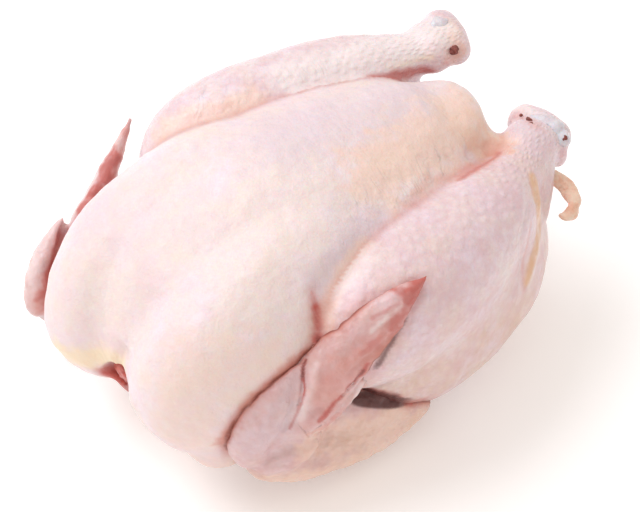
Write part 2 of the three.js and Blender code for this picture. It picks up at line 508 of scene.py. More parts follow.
def left_wing() -> Wing:
    """Return the bird's left wing, which stands a little off the breast."""
    outward = (-0.85, -0.5, 0.1)
    return Wing(
        side=-1,
        upper_arm=Muscle(((-38, 28, 44), (-51, 61.5, 30), (-64, 95, 16)), UPPER_ARM, UPPER_ARM),
        forearm=Muscle(((-64, 95, 16), (-64, 54, 20), (-63, 5, 21)), (8, 13, 14), (8, 13, 14)),
        hand=Muscle(
            ((-63, 5, 21), (-68, 24, 38), (-75, 50, 63), (-80, 68, 83)),
            (15, 11.5, 6.4, 1.4),
            (11, 6.5, 4.5, 1.4),
            outward,
        ),
        thumb=Muscle(((-63, 5, 21), (-69, 14, 40), (-74, 28, 56)), (10, 9, 2), (9, 6, 2), outward),
        web=Muscle(((-63, 5, 21), (-67, 22, 26), (-69, 40, 34)), (8, 8, 4), (8, 6, 3), outward),
        edge=Muscle(
            ((-66, 22, 22), (-69, 37, 38), (-74.5, 51, 57), (-78.5, 62, 75)),
            (2.4, 2, 1.6, 1),
            (3, 3, 2.4, 1.2),
            outward,
        ),
    )


# ---- The skin ----------------------------------------------------------------------------------------------


class Region(Enum):
    """A part of the body that a point of the skin belongs to, numbered in the order in which it is built."""

    TORSO = 0
    RIGHT_LEG = 1
    LEFT_LEG = 2


def bumps(points: np.ndarray, size: float, seed: float) -> np.ndarray:
    """Return smooth noise from about -1 to 1 at each point.

    Args:
        points: places in millimetres, one in each row.
        size: the width of a bump, in millimetres.
        seed: moves the pattern.

    Returns:
        One value for each point.
    """
    shift = Vector((seed, -seed, seed * 0.5))
    return np.array([noise.noise(Vector(point) / size + shift) for point in points])


def unevenness(points: np.ndarray, layers: Sequence[tuple[float, float, float]]) -> np.ndarray:
    """Return several layers of bumps together, in millimetres.

    Args:
        points: places in millimetres, one in each row.
        layers: for each layer the height, the width and the seed of its bumps.

    Returns:
        One value for each point.
    """
    return sum(height * bumps(points, size, seed) for height, size, seed in layers)


def smoothstep(low: float, high: float, values: np.ndarray) -> np.ndarray:
    """Return 0 below low, 1 above high, and a smooth step between them."""
    x = np.clip((values - low) / (high - low), 0.0, 1.0)
    return x * x * (3 - 2 * x)


def measure(points: np.ndarray, steps: np.ndarray, reach: float) -> tuple[np.ndarray, np.ndarray, float]:
    """Measure points against a line.

    Args:
        points: places in millimetres, one in each row.
        steps: close points of the line, one in each row.
        reach: how far from the line it matters, in millimetres.

    Returns:
        The distances, which are large out of reach, the length along the line up to the nearest place, and
        the whole length of the line.
    """
    gap = np.full(len(points), 1e3)
    run = np.zeros(len(points))
    near = np.all((points > steps.min(axis=0) - reach) & (points < steps.max(axis=0) + reach), axis=1)
    own = points[near]
    best = np.full(len(own), 1e3)
    where = np.zeros(len(own))
    length = 0.0
    for a, b in zip(steps[:-1], steps[1:]):
        edge = b - a
        size = float(np.linalg.norm(edge))
        t = np.clip((own - a) @ edge / size**2, 0.0, 1.0)
        d = np.linalg.norm(own - a - t[:, None] * edge, axis=1)
        closer = d < best
        best[closer] = d[closer]
        where[closer] = length + t[closer] * size
        length += size
    gap[near] = best
    run[near] = where
    return gap, run, length


@dataclass(frozen=True)
class Groove:
    """A furrow, or with a negative depth a ridge, along a line on the skin.

    Attributes:
        line: points that it passes near.
        width: half its width, in millimetres.
        depth: how deep it is, in millimetres.
    """

    line: tuple[Point, ...]
    width: float
    depth: float

    def push(self, hide: "Hide") -> np.ndarray:
        """Return how far each point of a hide moves outwards, in millimetres."""
        gap, run, length = measure(hide.points, hide.snap(self.line), 3 * self.width)
        fade = np.minimum(smoothstep(0.0, 0.2, run / length), 1 - smoothstep(0.8, 1.0, run / length))
        return -self.depth * np.exp(-((gap / self.width) ** 2)) * (0.2 + 0.8 * fade)


@dataclass(frozen=True)
class StainAndPaintedLight:
    """A patch of another colour along a line on the skin. Most are the skin's own colours; some are painted
    shade and some painted light.

    Attributes:
        line: points that it passes near.
        width: half its width, in millimetres.
        strength: how strong it is at its middle, from 0 to 1.
        ragged: how uneven its edge is.
        region: the part of the body that takes it, or None for all.
        inside: whether it stays on the walls of an opening.
    """

    line: tuple[Point, ...]
    width: float
    strength: float = 1.0
    ragged: float = 0.35
    region: Region | None = None
    inside: bool = False

    def paint(self, hide: "Hide", grain: np.ndarray) -> np.ndarray:
        """Return how strongly each point is stained, from 0 to 1.

        Args:
            hide: the skinned piece.
            grain: noise that makes the edge uneven.

        Returns:
            One value for each point.
        """
        gap, _, _ = measure(hide.points, hide.snap(self.line), 2 * self.width)
        mask = self.strength * (1 - smoothstep(0.35, 1.35, gap / self.width + self.ragged * grain))
        if self.region is not None:
            mask = mask * (hide.region == self.region.value)
        return mask * hide.inside if self.inside else mask


@dataclass(frozen=True)
class Fringe:
    """Fine wrinkles beside a line on the skin.

    Attributes:
        line: points that they start from.
        reach: how far they spread from it, in millimetres.
        strength: how deep they are, from 0 to 1.
        along: whether they run along the line, and not away from it.
        region: the part of the body that has them, or None for all.
    """

    line: tuple[Point, ...]
    reach: float
    strength: float = 1.0
    along: bool = False
    region: Region | None = None

    def lay(self, hide: "Hide") -> tuple[np.ndarray, np.ndarray]:
        """Return the wrinkles' own coordinates and their strength at each point.

        Args:
            hide: the skinned piece.

        Returns:
            A row for each point, of the millimetres across and along the wrinkles, and the strength there.
        """
        gap, run, length = measure(hide.points, hide.snap(self.line), self.reach)
        ends = np.minimum(smoothstep(0.0, 0.12, run / length), 1 - smoothstep(0.88, 1.0, run / length))
        mask = self.strength * (1 - smoothstep(0.45, 1.0, gap / self.reach)) * ends
        if self.region is not None:
            mask = mask * (hide.region == self.region.value)
        lay = np.stack([gap, run] if self.along else [run, gap], axis=1)
        return lay, mask


@dataclass(frozen=True)
class Marks:
    """Everything that shapes and colours one skinned piece beyond its muscles.

    Attributes:
        grooves: furrows and ridges.
        stains_and_painted_light: patches of colour, for each mask by its name; some are painted shade and
            some painted light.
        fringes: fine wrinkles.
    """

    grooves: tuple[Groove, ...] = ()
    stains_and_painted_light: dict[str, tuple[StainAndPaintedLight, ...]] = field(default_factory=dict)
    fringes: tuple[Fringe, ...] = ()


# The height, the width and the seed of each layer of bumps in the skin.
BODY_BUMPS = ((0.6, 17, 3.1), (0.35, 7, 9.7), (0.12, 3.4, 5.9))
WING_BUMPS = ((0.45, 11, 2.1), (0.5, 4.5, 6.1), (0.28, 2.2, 3.3))
PIT_REACH = 24.0  # how far the skin is taken to be from the middle of a part, where its pits are spaced out


class Hide:
    """The points of a skinned piece, which can be moved and marked together.

    Attributes:
        piece: the piece.
        points: its points, in millimetres, one in each row.
        normals: the directions outwards at them.
        region: the number of the region that each belongs to.
        clear: 1 where pits and wrinkles show, and down to 0 where two regions meet.
        inside: 1 on the walls of an opening, and 0 away from them.
        tree: a search tree over the faces.
    """

    MASKS = ("flesh", "fat", "blush", "tan", "ruddy", "sinew", "pale", "shade_and_spots")

    def __init__(self, piece: bpy.types.Object) -> None:
        """Read the piece's points.

        Args:
            piece: the finished but plain piece.
        """
        self.piece = piece
        mesh = piece.data
        flat = np.empty(len(mesh.vertices) * 3)
        mesh.vertices.foreach_get("co", flat)
        self.points = flat.reshape(-1, 3) / MM + np.array(MIDDLE)
        mesh.vertices.foreach_get("normal", flat)
        self.normals = flat.reshape(-1, 3).copy()
        self.region = np.zeros(len(mesh.vertices), dtype=int)
        self.clear = np.ones(len(mesh.vertices))
        self.inside = np.zeros(len(mesh.vertices))
        self.tree = tree_of(piece)

    def snap(self, line: Sequence[Point]) -> np.ndarray:
        """Lay a smooth line on the surface.

        Args:
            line: the points that it passes near.

        Returns:
            Close points of it, in millimetres, one in each row.
        """
        steps = Spline(line).samples(8 * len(line))
        return np.array([self.tree.find_nearest(to_frame(step))[0] / MM + MIDDLE for step in steps])

    def gaps_to(self, trees: Sequence[BVHTree]) -> np.ndarray:
        """Return the distance from each point to each shape, in millimetres."""
        places = [Vector(row) for row in (self.points - np.array(MIDDLE)) * MM]
        return np.array([[tree.find_nearest(place)[3] / MM for tree in trees] for place in places])

    def push(self, amount: np.ndarray) -> None:
        """Move each point outwards by an amount in millimetres, but never below the floor."""
        self.points = self.points + self.normals * amount[:, None]
        self.points[:, 2] = np.maximum(self.points[:, 2], 0.0)
        self.piece.data.vertices.foreach_set("co", ((self.points - np.array(MIDDLE)) * MM).ravel())
        self.piece.data.update()

    def relax(self, weight: np.ndarray, rounds: int) -> None:
        """Smooth the points, each by its own weight.

        Args:
            weight: how much each point moves to the middle of its neighbours, from 0 to 1.
            rounds: how often.
        """
        mesh = self.piece.data
        ends = np.empty(len(mesh.edges) * 2, dtype=np.int64)
        mesh.edges.foreach_get("vertices", ends)
        a, b = ends.reshape(-1, 2).T
        one, other = np.concatenate([a, b]), np.concatenate([b, a])
        count = np.bincount(one, minlength=len(self.points))
        for _ in range(rounds):
            sums = [np.bincount(one, self.points[other, axis], len(self.points)) for axis in range(3)]
            self.points += (np.stack(sums, axis=1) / count[:, None] - self.points) * weight[:, None]
        self.push(np.zeros(len(self.points)))

    def write(self, name: str, values: np.ndarray) -> None:
        """Store one number, or a row of three, for each point.

        Args:
            name: the attribute's name.
            values: the numbers.
        """
        vector = values.ndim == 2
        layer = self.piece.data.attributes.new(name, "FLOAT_VECTOR" if vector else "FLOAT", "POINT")
        layer.data.foreach_set("vector" if vector else "value", values.astype(np.float32).ravel())

    def stain_and_light(self, marks: Marks) -> None:
        """Write every mask of the marks.

        Args:
            marks: the marks, whose stains are named like the masks.
        """
        grain = bumps(self.points, 5, 1.3) + 0.6 * bumps(self.points, 2.2, 4.4)
        for name in self.MASKS:
            mask = np.zeros(len(self.points))
            for stain_and_light in marks.stains_and_painted_light.get(name, ()):
                mask = np.maximum(mask, stain_and_light.paint(self, grain))
            self.write(name, mask)

    def wrinkle(self, marks: Marks) -> None:
        """Write the fine wrinkles' coordinates and strength."""
        result = np.zeros((len(self.points), 3))
        for fringe in marks.fringes:
            lay, mask = fringe.lay(self)
            stronger = mask > result[:, 2]
            result[stronger, :2] = lay[stronger]
            result[stronger, 2] = mask[stronger]
        result[:, 2] *= self.clear
        self.write("folds", result)

    def pit(self, lines: dict[int, tuple[Sequence[Point], float]], pitch: float) -> None:
        """Write the coordinates of the feather pits, which follow each part.

        Args:
            lines: for each region number, the line through the part and how strong its pits are.
            pitch: the distance between pits, in millimetres.
        """
        stops = 60
        result = np.zeros((len(self.points), 3))
        for number, (line, strength) in lines.items():
            own = self.region == number
            points = self.points[own]
            spline = Spline(line)
            _, run, length = measure(points, spline.samples(40), 200.0)
            index = np.clip(run / length * stops, 0, stops - 1e-6)
            low = index.astype(int)
            part = (index - low)[:, None]
            middles = spline.samples(stops + 1)
            tangents = np.array([spline.tangent(i / stops) for i in range(stops + 1)])
            middle = middles[low] * (1 - part) + middles[low + 1] * part
            tangent = tangents[low] * (1 - part) + tangents[low + 1] * part
            side = np.cross(np.array([0.0, 0.0, 1.0]), tangent)
            side /= np.linalg.norm(side, axis=1)[:, None]
            above = np.cross(tangent, side)
            out = points - middle
            x = (out * side).sum(axis=1)
            z = (out * above).sum(axis=1)
            turn = np.arctan2(x, z)
            along = run + (out * tangent).sum(axis=1)
            seam = smoothstep(0.1, 0.5, np.pi - np.abs(turn))
            around = turn * PIT_REACH
            result[own] = np.stack([along / pitch, around / pitch, strength * seam * self.clear[own]], axis=1)
        self.write("pits", result)


def tree_of(part: bpy.types.Object) -> BVHTree:
    """Return a search tree over a part's faces."""
    mesh = bmesh.new()
    mesh.from_mesh(part.data)
    tree = BVHTree.FromBMesh(mesh)
    mesh.free()
    return tree


def wall_of(cut: Muscle) -> BVHTree:
    """Return the shape of an opening's walls, for finding the nearest point on them."""
    shape = bmesh.new()
    cut.grow(shape)
    tree = BVHTree.FromBMesh(shape)
    shape.free()
    return tree


def keep_largest(piece: bpy.types.Object) -> None:
    """Remove closed pockets and crumbs from a piece, so that it is one shell."""
    mesh = bmesh.new()
    mesh.from_mesh(piece.data)
    left = set(mesh.verts)
    shells = []
    while left:
        shell = {left.pop()}
        edge = list(shell)
        while edge:
            vert = edge.pop()
            for link in vert.link_edges:
                other = link.other_vert(vert)
                if other in left:
                    left.discard(other)
                    shell.add(other)
                    edge.append(other)
        shells.append(shell)
    shells.sort(key=len)
    crumbs = [vert for shell in shells[:-1] for vert in shell]
    if crumbs:
        bmesh.ops.delete(mesh, geom=crumbs, context="VERTS")
    mesh.to_mesh(piece.data)
    mesh.free()


# ---- The body ----------------------------------------------------------------------------------------------

CREASE = ((60, 52, 78), (58, 53, 79), (56, 54, 81.5), (53, 55, 85), (50, 56, 88), (47, 57, 91.5))
HOLLOW = ((60, 52, 77), (56, 55, 83), (52, 57, 89), (49, 62, 95), (46, 69, 98))
FLANK_LINE = ((44, 84, 98), (38, 100, 98), (36, 116, 97), (36, 134, 95), (33, 150, 92), (30, 166, 86))
SINEW = (
    (49, 167, 84),
    (53, 165, 83),
    (57, 162, 79),
    (58, 163, 70),
    (60, 161, 66),
    (64, 157, 63),
    (67, 152, 59),
    (69, 149, 55),
)
THIGH_LINE = ((62, 66, 47), (67, 76, 42), (71, 88, 34), (72, 100, 30))
SINEW_EDGE = ((51, 163, 85), (55, 160, 81), (58, 159, 72), (60, 158, 67), (65, 152, 62))
HEEL_LINE = ((54, 158, 87), (62, 152, 84), (67, 145, 78), (67, 145, 62), (71, 142, 50))
WING_CREASE = ((54, 10, 46), (57, 21, 63), (58, 32, 70), (58, 42, 73), (59, 50, 75))


def body_marks() -> Marks:
    """Return the furrows, colours and wrinkles of the torso and the legs."""
    leg, far, torso = Region.RIGHT_LEG, Region.LEFT_LEG, Region.TORSO
    return Marks(
        grooves=(
            # the shallow furrow over the keel, from the neck notch
            Groove(((3, -3, 54), (6, 0, 68), (10, 8, 84), (13, 18, 94)), 9.0, 1.7),
            Groove(((3, -2, 48), (4, -1, 56), (6, 2, 66)), 3.6, 2.2),
            # the breast turns in before it meets the leg, and the flank sags
            Groove(HOLLOW, 6.0, 1.4),
            Groove(CREASE[:5], 1.6, 1.2),
            Groove(((34, 96, 101), (30, 116, 101), (29, 136, 99), (26, 152, 95)), 8.0, 0.9),
            Groove(((30, 152, 92), (28, 160, 88), (25, 168, 84)), 5.0, 1.6),
            Groove(((24, 128, 103), (32, 131, 99), (39, 132, 97)), 2.2, 0.5),
            Groove(((26, 118, 103), (31, 116, 100), (35, 112, 99)), 1.8, 0.5),
            Groove(((28, 141, 99), (33, 143, 97), (37, 142, 96)), 1.8, 0.6),
            # the sinew down the back edge of the right drumstick
            Groove(((49, 167, 84), (55, 165, 78), (57, 165, 66), (63, 159, 63), (69, 147, 53)), 2.6, -0.8),
            Groove(HEEL_LINE, 1.4, 0.7),
        ),
        stains_and_painted_light={
            "flesh": (
                StainAndPaintedLight(((1, -8, 44), (1, 0, 45), (1, 10, 46)), 7.0, 1.0, 0.2),
                StainAndPaintedLight(CREASE[:5], 2.0, 1.0, 0.2),
                StainAndPaintedLight(CREASE[4:], 1.6, 0.8, 0.4),
                StainAndPaintedLight(((-6, 1, 38), (0, 0, 42), (6, 0, 44), (0, 1, 34)), 6.5, 1.0, 0.2),
                StainAndPaintedLight(((38, 138, 95), (34, 153, 90), (29, 166, 86)), 1.8, 0.5, 0.3),
                StainAndPaintedLight(((64, 68, 42), (66, 76, 38), (68, 82, 34)), 3.2, 0.7, 0.3),
                StainAndPaintedLight(((68, 82, 34), (70, 88, 28), (73, 94, 25)), 1.8, 0.4, 0.6),
                StainAndPaintedLight(((-24, 146, 94), (-25, 158, 91), (-25, 168, 87), (-25, 178, 85)), 3.0, 0.8, 0.4, far),
                StainAndPaintedLight(((0, 200, 56), (0, 170, 53), (0, 122, 54)), 34.0, 0.85, 0.1, inside=True),
            ),
            "fat": (
                StainAndPaintedLight(((-24, -6, 46), (-12, -3, 48), (-5, 0, 52), (2, 0, 54)), 7.0, 1.0),
                StainAndPaintedLight(((-26, 158, 96), (-26, 168, 93), (-27, 180, 90)), 1.8, 0.8, 0.5, far),
            ),
            "blush": (
                StainAndPaintedLight(((-8, 92, 110), (2, 122, 109), (3, 150, 104)), 22.0, 0.8, 0.5),
                StainAndPaintedLight(((-8, 20, 92), (2, 40, 104)), 12.0, 0.35, 0.9),
                StainAndPaintedLight(((50, 60, 93), (46, 70, 98), (42, 84, 99), (39, 96, 100)), 6.0, 0.9, 0.4, torso),
                StainAndPaintedLight(((-34, 20, 90), (-42, 34, 84)), 14.0, 0.4, 0.5),
                StainAndPaintedLight(((36, 1, 42), (46, 8, 30)), 9.0, 0.7, 0.6, torso),
                StainAndPaintedLight(((50, 60, 88), (54, 56, 80)), 6.0, 0.5, 0.4, leg),
                StainAndPaintedLight(((30, 182, 84), (26, 190, 84)), 12.0, 0.6, 0.4, leg),
            ),
            "tan": (
                StainAndPaintedLight(((24, 108, 104), (22, 134, 102), (18, 152, 98), (14, 160, 95)), 16.0, 0.8, 0.6, torso),
                StainAndPaintedLight(((17, 155, 96), (21, 161, 91), (26, 167, 84)), 10.0, 1.0, 0.8),
                StainAndPaintedLight(((48, -2, 54), (44, 4, 76), (52, 24, 78)), 16.0, 0.4, 0.6, torso),
                StainAndPaintedLight(((10, 2, 24), (30, 6, 24), (44, 14, 22)), 15.0, 0.45, 0.5, torso),
                StainAndPaintedLight(((58, 57, 82), (54, 62, 88), (49, 72, 94), (45, 84, 97)), 4.0, 0.7, 0.4),
                StainAndPaintedLight(((-60, 70, 60), (-58, 100, 62)), 12.0, 0.5, 0.5, far),
                StainAndPaintedLight(((-54, 66, 92), (-46, 82, 99), (-40, 100, 100)), 7.0, 0.7, 0.6, far),
                StainAndPaintedLight(((-30, 190, 92), (-22, 188, 92)), 6.0, 0.8, 0.6, far),
            ),
            "ruddy": (
                StainAndPaintedLight(((24, 166, 86), (28, 168, 84), (31, 169, 83)), 4.0, 0.55, 1.0),
                StainAndPaintedLight(WING_CREASE, 4.0, 0.8, 0.6, torso),
                StainAndPaintedLight(CREASE, 3.6, 0.6, 0.5),
                StainAndPaintedLight(((36, 140, 95), (35, 128, 97), (38, 110, 98)), 2.6, 0.4, 0.7),
                StainAndPaintedLight(((36, 142, 94), (33, 154, 90), (29, 166, 86)), 4.4, 0.8, 0.4),
                StainAndPaintedLight(SINEW_EDGE, 1.0, 0.6, 0.3, leg),
                StainAndPaintedLight(((16, 189, 82), (23, 188, 85), (30, 186, 86)), 3.6, 0.55, 0.5, leg),
                StainAndPaintedLight(((37, 192, 80), (38, 193, 74)), 3.0, 0.4, 0.5, leg),
                StainAndPaintedLight(((60, 152, 78), (66, 147, 66), (69, 146, 52)), 1.2, 0.5, 0.3, leg),
                StainAndPaintedLight(((-27, 184, 88), (-21, 189, 91)), 4.0, 0.6, 0.5, far),
                StainAndPaintedLight(((-50, 74, 96), (-44, 90, 100)), 2.0, 0.3, 0.6, far),
            ),
            "sinew": (
                StainAndPaintedLight(SINEW, 3.2, 1.0, 0.2, leg),
            ),
            "pale": (
                StainAndPaintedLight(HEEL_LINE, 1.6, 0.35, 0.8, leg),
                StainAndPaintedLight(((54, 168, 80), (59, 165, 72), (64, 161, 63), (71, 150, 52)), 1.6, 0.4, 0.3, leg),
                # Painted light: the far leg made paler where the lamp falls on it.
                StainAndPaintedLight(((-40, 118, 104), (-33, 155, 99), (-32, 184, 96)), 11.0, 1.0, 0.4, far),
                StainAndPaintedLight(((12, 192, 81), (20, 193, 84), (27, 194, 84), (36, 194, 80)), 3.6, 0.75, 0.4, leg),
                # A painted highlight on the top of the right thigh.
                StainAndPaintedLight(((51, 70, 90), (47, 80, 95)), 7.0, 0.7, 0.5, leg),
            ),
            # Painted shade: deep in the fold between the thigh and the forearm and inside the cut there, in
            # the neck notch, deep in the body cavity and along the fold between the breast and the leg.
            "shade_and_spots": (
                StainAndPaintedLight(((64, 60, 46), (64, 68, 42), (65, 74, 39)), 2.6, 1.0, 0.2),
                StainAndPaintedLight(GAP[:4], 9.0, 0.95, 0.1, inside=True),
                StainAndPaintedLight(((65, 74, 39), (68, 81, 35)), 2.4, 0.9, 0.3),
                # A painted shadow on the thigh under the rolled edge of the hand.
                StainAndPaintedLight(((74.5, 79, 85.5), (75, 74, 81.5), (76, 69.5, 77), (76, 65, 71)), 1.5, 0.7, 0.4, leg),
                StainAndPaintedLight(((4, 4, 46), (4, 12, 46)), 6.0, 0.6, 0.2),
                StainAndPaintedLight(((0, 160, 53), (0, 140, 54), (0, 122, 54)), 26.0, 0.8, 0.1, inside=True),
                StainAndPaintedLight(CREASE[:4], 1.2, 0.75, 0.3),
            ),
        },
        fringes=(
            Fringe(FLANK_LINE, 19.0, 1.0, region=torso),
            Fringe(THIGH_LINE, 14.0, 0.9, along=True, region=leg),
            Fringe(((-55, 70, 66), (-52, 84, 78), (-46, 110, 84), (-38, 140, 90)), 14.0, 0.8, region=far),
            Fringe(WING_CREASE, 6.0, 0.5, region=torso),
            Fringe(HOLLOW, 9.0, 0.5, region=torso),
        ),
    )


@dataclass
class Body:
    """The torso and both legs under one skin.

    Attributes:
        legs: the right and the left leg.
        torso: the torso.
        voxel: the size of the skin's faces, in millimetres.
        rounds: how often the joined shape is smoothed.
        fold_width: how far the folds between the parts are smoothed further, in millimetres.
        fold_rounds: how often they are.
        pit_pitch: the distance between feather pits, in millimetres.
        marks: the furrows, colours and wrinkles.
    """

    legs: tuple[Leg, Leg] = field(default_factory=lambda: (right_leg(), left_leg()))
    torso: Torso = field(default_factory=Torso)
    voxel: float = 1.18
    rounds: int = 6
    fold_width: float = 4.0
    fold_rounds: int = 12
    pit_pitch: float = 4.3
    marks: Marks = field(default_factory=body_marks)

    def build(self, neighbours: Sequence[BVHTree]) -> bpy.types.Object:
        """Join the parts under one skin, and shape and mark it.

        Args:
            neighbours: the shapes of the wings, which press into it.

        Returns:
            The skin.
        """
        parts = [self.torso.build(), *(leg.build() for leg in self.legs)]
        trees = [*(tree_of(part) for part in parts), *neighbours]
        gap = Muscle(GAP, GAP_SIZE, GAP_SIZE)
        cuts = (self.torso.neck_notch, self.torso.body_cavity, gap)
        skin = melt("skin", (), self.voxel, self.rounds, parts=parts, cuts=cuts)
        keep_largest(skin)
        hide = Hide(skin)
        gaps = hide.gaps_to(trees)
        hide.region = np.argmin(gaps[:, :3], axis=1)

        own = np.sort(gaps[:, :3], axis=1)
        hide.inside = 1 - smoothstep(0.9, 2.0, hide.gaps_to([wall_of(cut) for cut in cuts]).min(axis=1))
        valley = np.exp(-((own[:, 1] / self.fold_width) ** 2))
        hide.relax(valley, self.fold_rounds)
        near_wing = gaps[:, 3:].min(axis=1)
        push = unevenness(hide.points, BODY_BUMPS)
        for groove in self.marks.grooves:
            push += groove.push(hide)
        hide.push(push)
        hide.relax(0.7 * valley, 5)
        hide.clear = smoothstep(1.6, 4.5, own[:, 1] - own[:, 0])

        # Painted shade, with the skin's own red, in the folds where two parts meet and where a wing lies on
        # the body.
        ragged = 1 + 0.25 * bumps(hide.points, 5, 7.7)
        by_wing = np.where(hide.region == Region.TORSO.value, 1.0, 0.45) * np.exp(-((near_wing / 3.0) ** 2))
        fold = np.maximum(0.5 * np.exp(-((own[:, 1] / 2.4) ** 2)), by_wing)
        hide.write("crease_tint_and_shade", ragged * fold)
        leg_gap = gaps[:, 1:3].min(axis=1)
        hide.write("leg", smoothstep(-2.5, 2.5, gaps[:, 0] - leg_gap))
        # Towards the floor the trunk and legs turn tan and darker, partly as painted shade.
        height = hide.points[:, 2] + 6 * bumps(hide.points, 20, 5.5)
        on_trunk = 0.9 * (1 - smoothstep(18.0, 64.0, height))
        on_leg = 1 - smoothstep(30.0, 84.0, height)
        hide.write("low", np.where(hide.region == Region.TORSO.value, on_trunk, on_leg))
        hide.stain_and_light(self.marks)
        hide.wrinkle(self.marks)
        lines = {
            Region.TORSO.value: (self.torso.trunk.line, 0.35),
            Region.RIGHT_LEG.value: (self.legs[0].drumstick.line, 1.0),
            Region.LEFT_LEG.value: (self.legs[1].drumstick.line, 1.0),
        }
        hide.pit(lines, self.pit_pitch)
        return skin


# ---- The wings' skin ---------------------------------------------------------------------------------------


def right_wing_marks() -> Marks:
    """Return the furrows, colours and wrinkles of the right wing."""
    return Marks(
        grooves=(
            Groove(((64, 46, 77), (68, 42, 70), (70, 36, 60)), 2.4, -1.0),
            Groove(((60, 32, 64), (63, 27, 56)), 3.0, -0.8),
            Groove(((72, 40, 46), (70, 44, 40), (72, 60, 30)), 2.0, 0.8),
            Groove(((69, 52, 76), (72, 64, 84), (73, 78, 90)), 2.0, 0.9),
            Groove(((72, 52, 71), (75, 64, 79), (75, 76, 86)), 1.7, 0.9),
            Groove(((71, 38, 57), (72, 44, 60)), 2.4, 0.9),
            Groove(((72, 40, 50), (70, 30, 44), (66, 22, 40)), 2.2, 0.6),
            Groove(((74, 70, 84), (75, 78, 86)), 1.6, -0.6),
        ),
        stains_and_painted_light={
            "flesh": (
                StainAndPaintedLight(SLIT, 1.5, 0.85, 0.3),
                StainAndPaintedLight(THUMB_LINE[:3], 0.9, 0.8, 0.3),
                StainAndPaintedLight(THUMB_LINE[2:], 0.7, 0.5, 0.4),
                StainAndPaintedLight(((65, 74, 38), (68, 81, 35), (70, 89, 27)), 1.8, 0.6, 0.3),
                StainAndPaintedLight(((73, 84, 93), (72, 89, 94), (71, 93, 95)), 6.0, 0.8, 0.6),
                StainAndPaintedLight(((75, 72, 86), (75.5, 77, 88), (74, 85, 91)), 3.6, 0.6, 0.9),
                StainAndPaintedLight(((74, 65, 82), (75, 70, 85)), 2.2, 0.4, 1.0),
                StainAndPaintedLight(((76, 72, 84), (75, 80, 88), (74, 88, 91)), 2.6, 0.6, 0.5),
                StainAndPaintedLight(((70, 68, 90), (72, 76, 92), (72, 86, 93)), 1.2, 0.4, 0.5),
                StainAndPaintedLight(((74, 60, 79), (75, 70, 84)), 1.6, 0.35, 0.6),
            ),
            "tan": (
                StainAndPaintedLight(((70, 40, 40), (72, 56, 32), (72, 80, 22)), 9.0, 0.7, 0.5),
                StainAndPaintedLight(((66, 24, 14), (72, 60, 12), (72, 90, 12)), 10.0, 0.8, 0.4),
            ),
            "pale": (
                StainAndPaintedLight(((72, 66, 86), (72, 74, 90), (72, 82, 93)), 1.3, 0.6, 1.2),
                StainAndPaintedLight(((75, 76, 86), (74.5, 82, 89)), 0.8, 0.5, 1.2),
                StainAndPaintedLight(((76, 78, 83), (75, 68, 74), (74, 60, 61), (72, 54, 50), (71, 46, 43)), 1.6, 0.5, 0.8),
                StainAndPaintedLight(((58, 46, 73), (59, 43, 70)), 2.0, 0.6, 0.3),
                # A painted highlight along the ridge beside the thumb.
                StainAndPaintedLight(((65, 45, 76), (68, 41, 69), (70, 34, 58)), 1.8, 0.4, 0.6),
            ),
            "blush": (
                StainAndPaintedLight(((58, 20, 50), (64, 30, 58), (62, 38, 66)), 9.0, 0.5, 0.5),
            ),
            "ruddy": (
                StainAndPaintedLight(((69, 46, 66), (73, 58, 75), (75, 72, 84), (71, 90, 93)), 8.0, 0.75, 0.5),
                StainAndPaintedLight(((72, 52, 71), (75, 62, 78), (76, 72, 84)), 4.0, 0.8, 0.4),
                StainAndPaintedLight(((70, 38, 52), (72, 44, 58), (73, 50, 64)), 6.0, 0.45, 0.5),
                StainAndPaintedLight(((72, 46, 48), (72, 50, 40)), 7.0, 0.5, 0.7),
                StainAndPaintedLight(((70, 36, 50), (72, 43, 47), (73, 52, 52)), 2.4, 0.8, 1.2),
            ),
            # Painted shade in the fold against the thigh, in the slit under the rolled edge and in the cut
            # beside the thumb; the last two are small spots by the slit.
            "shade_and_spots": (
                StainAndPaintedLight(GAP[:4], 9.0, 0.95, 0.1, inside=True),
                StainAndPaintedLight(((63, 60, 46), (64, 68, 41), (65, 73, 39)), 2.6, 1.0, 0.2),
                StainAndPaintedLight(((65, 73, 39), (67, 79, 36)), 2.4, 0.9, 0.3),
                StainAndPaintedLight(((76, 59, 72), (75, 54, 66)), 0.9, 0.6, 0.3),
                StainAndPaintedLight(THUMB_LINE[:2], 0.7, 0.6, 0.4),
                StainAndPaintedLight(((74, 42, 60), (73.5, 41.5, 59)), 0.9, 0.6, 0.2),
                StainAndPaintedLight(((73, 42, 50), (72.5, 41.5, 49)), 0.9, 0.5, 0.2),
            ),
        },
        fringes=(
            Fringe(((73, 58, 56), (72, 48, 45), (71, 38, 42)), 16.0, 1.0),
            Fringe(((62, 50, 78), (72, 76, 92), (70, 94, 95)), 9.0, 0.5, along=True),
            Fringe(((59, 44, 70), (63, 37, 65), (66, 31, 57)), 8.0, 0.4),
        ),
    )


FAR_HAND_EDGE = ((-66, 4, 40), (-69, 12, 48), (-74, 26, 53), (-77, 40, 60), (-76, 48, 68), (-77, 58, 76))


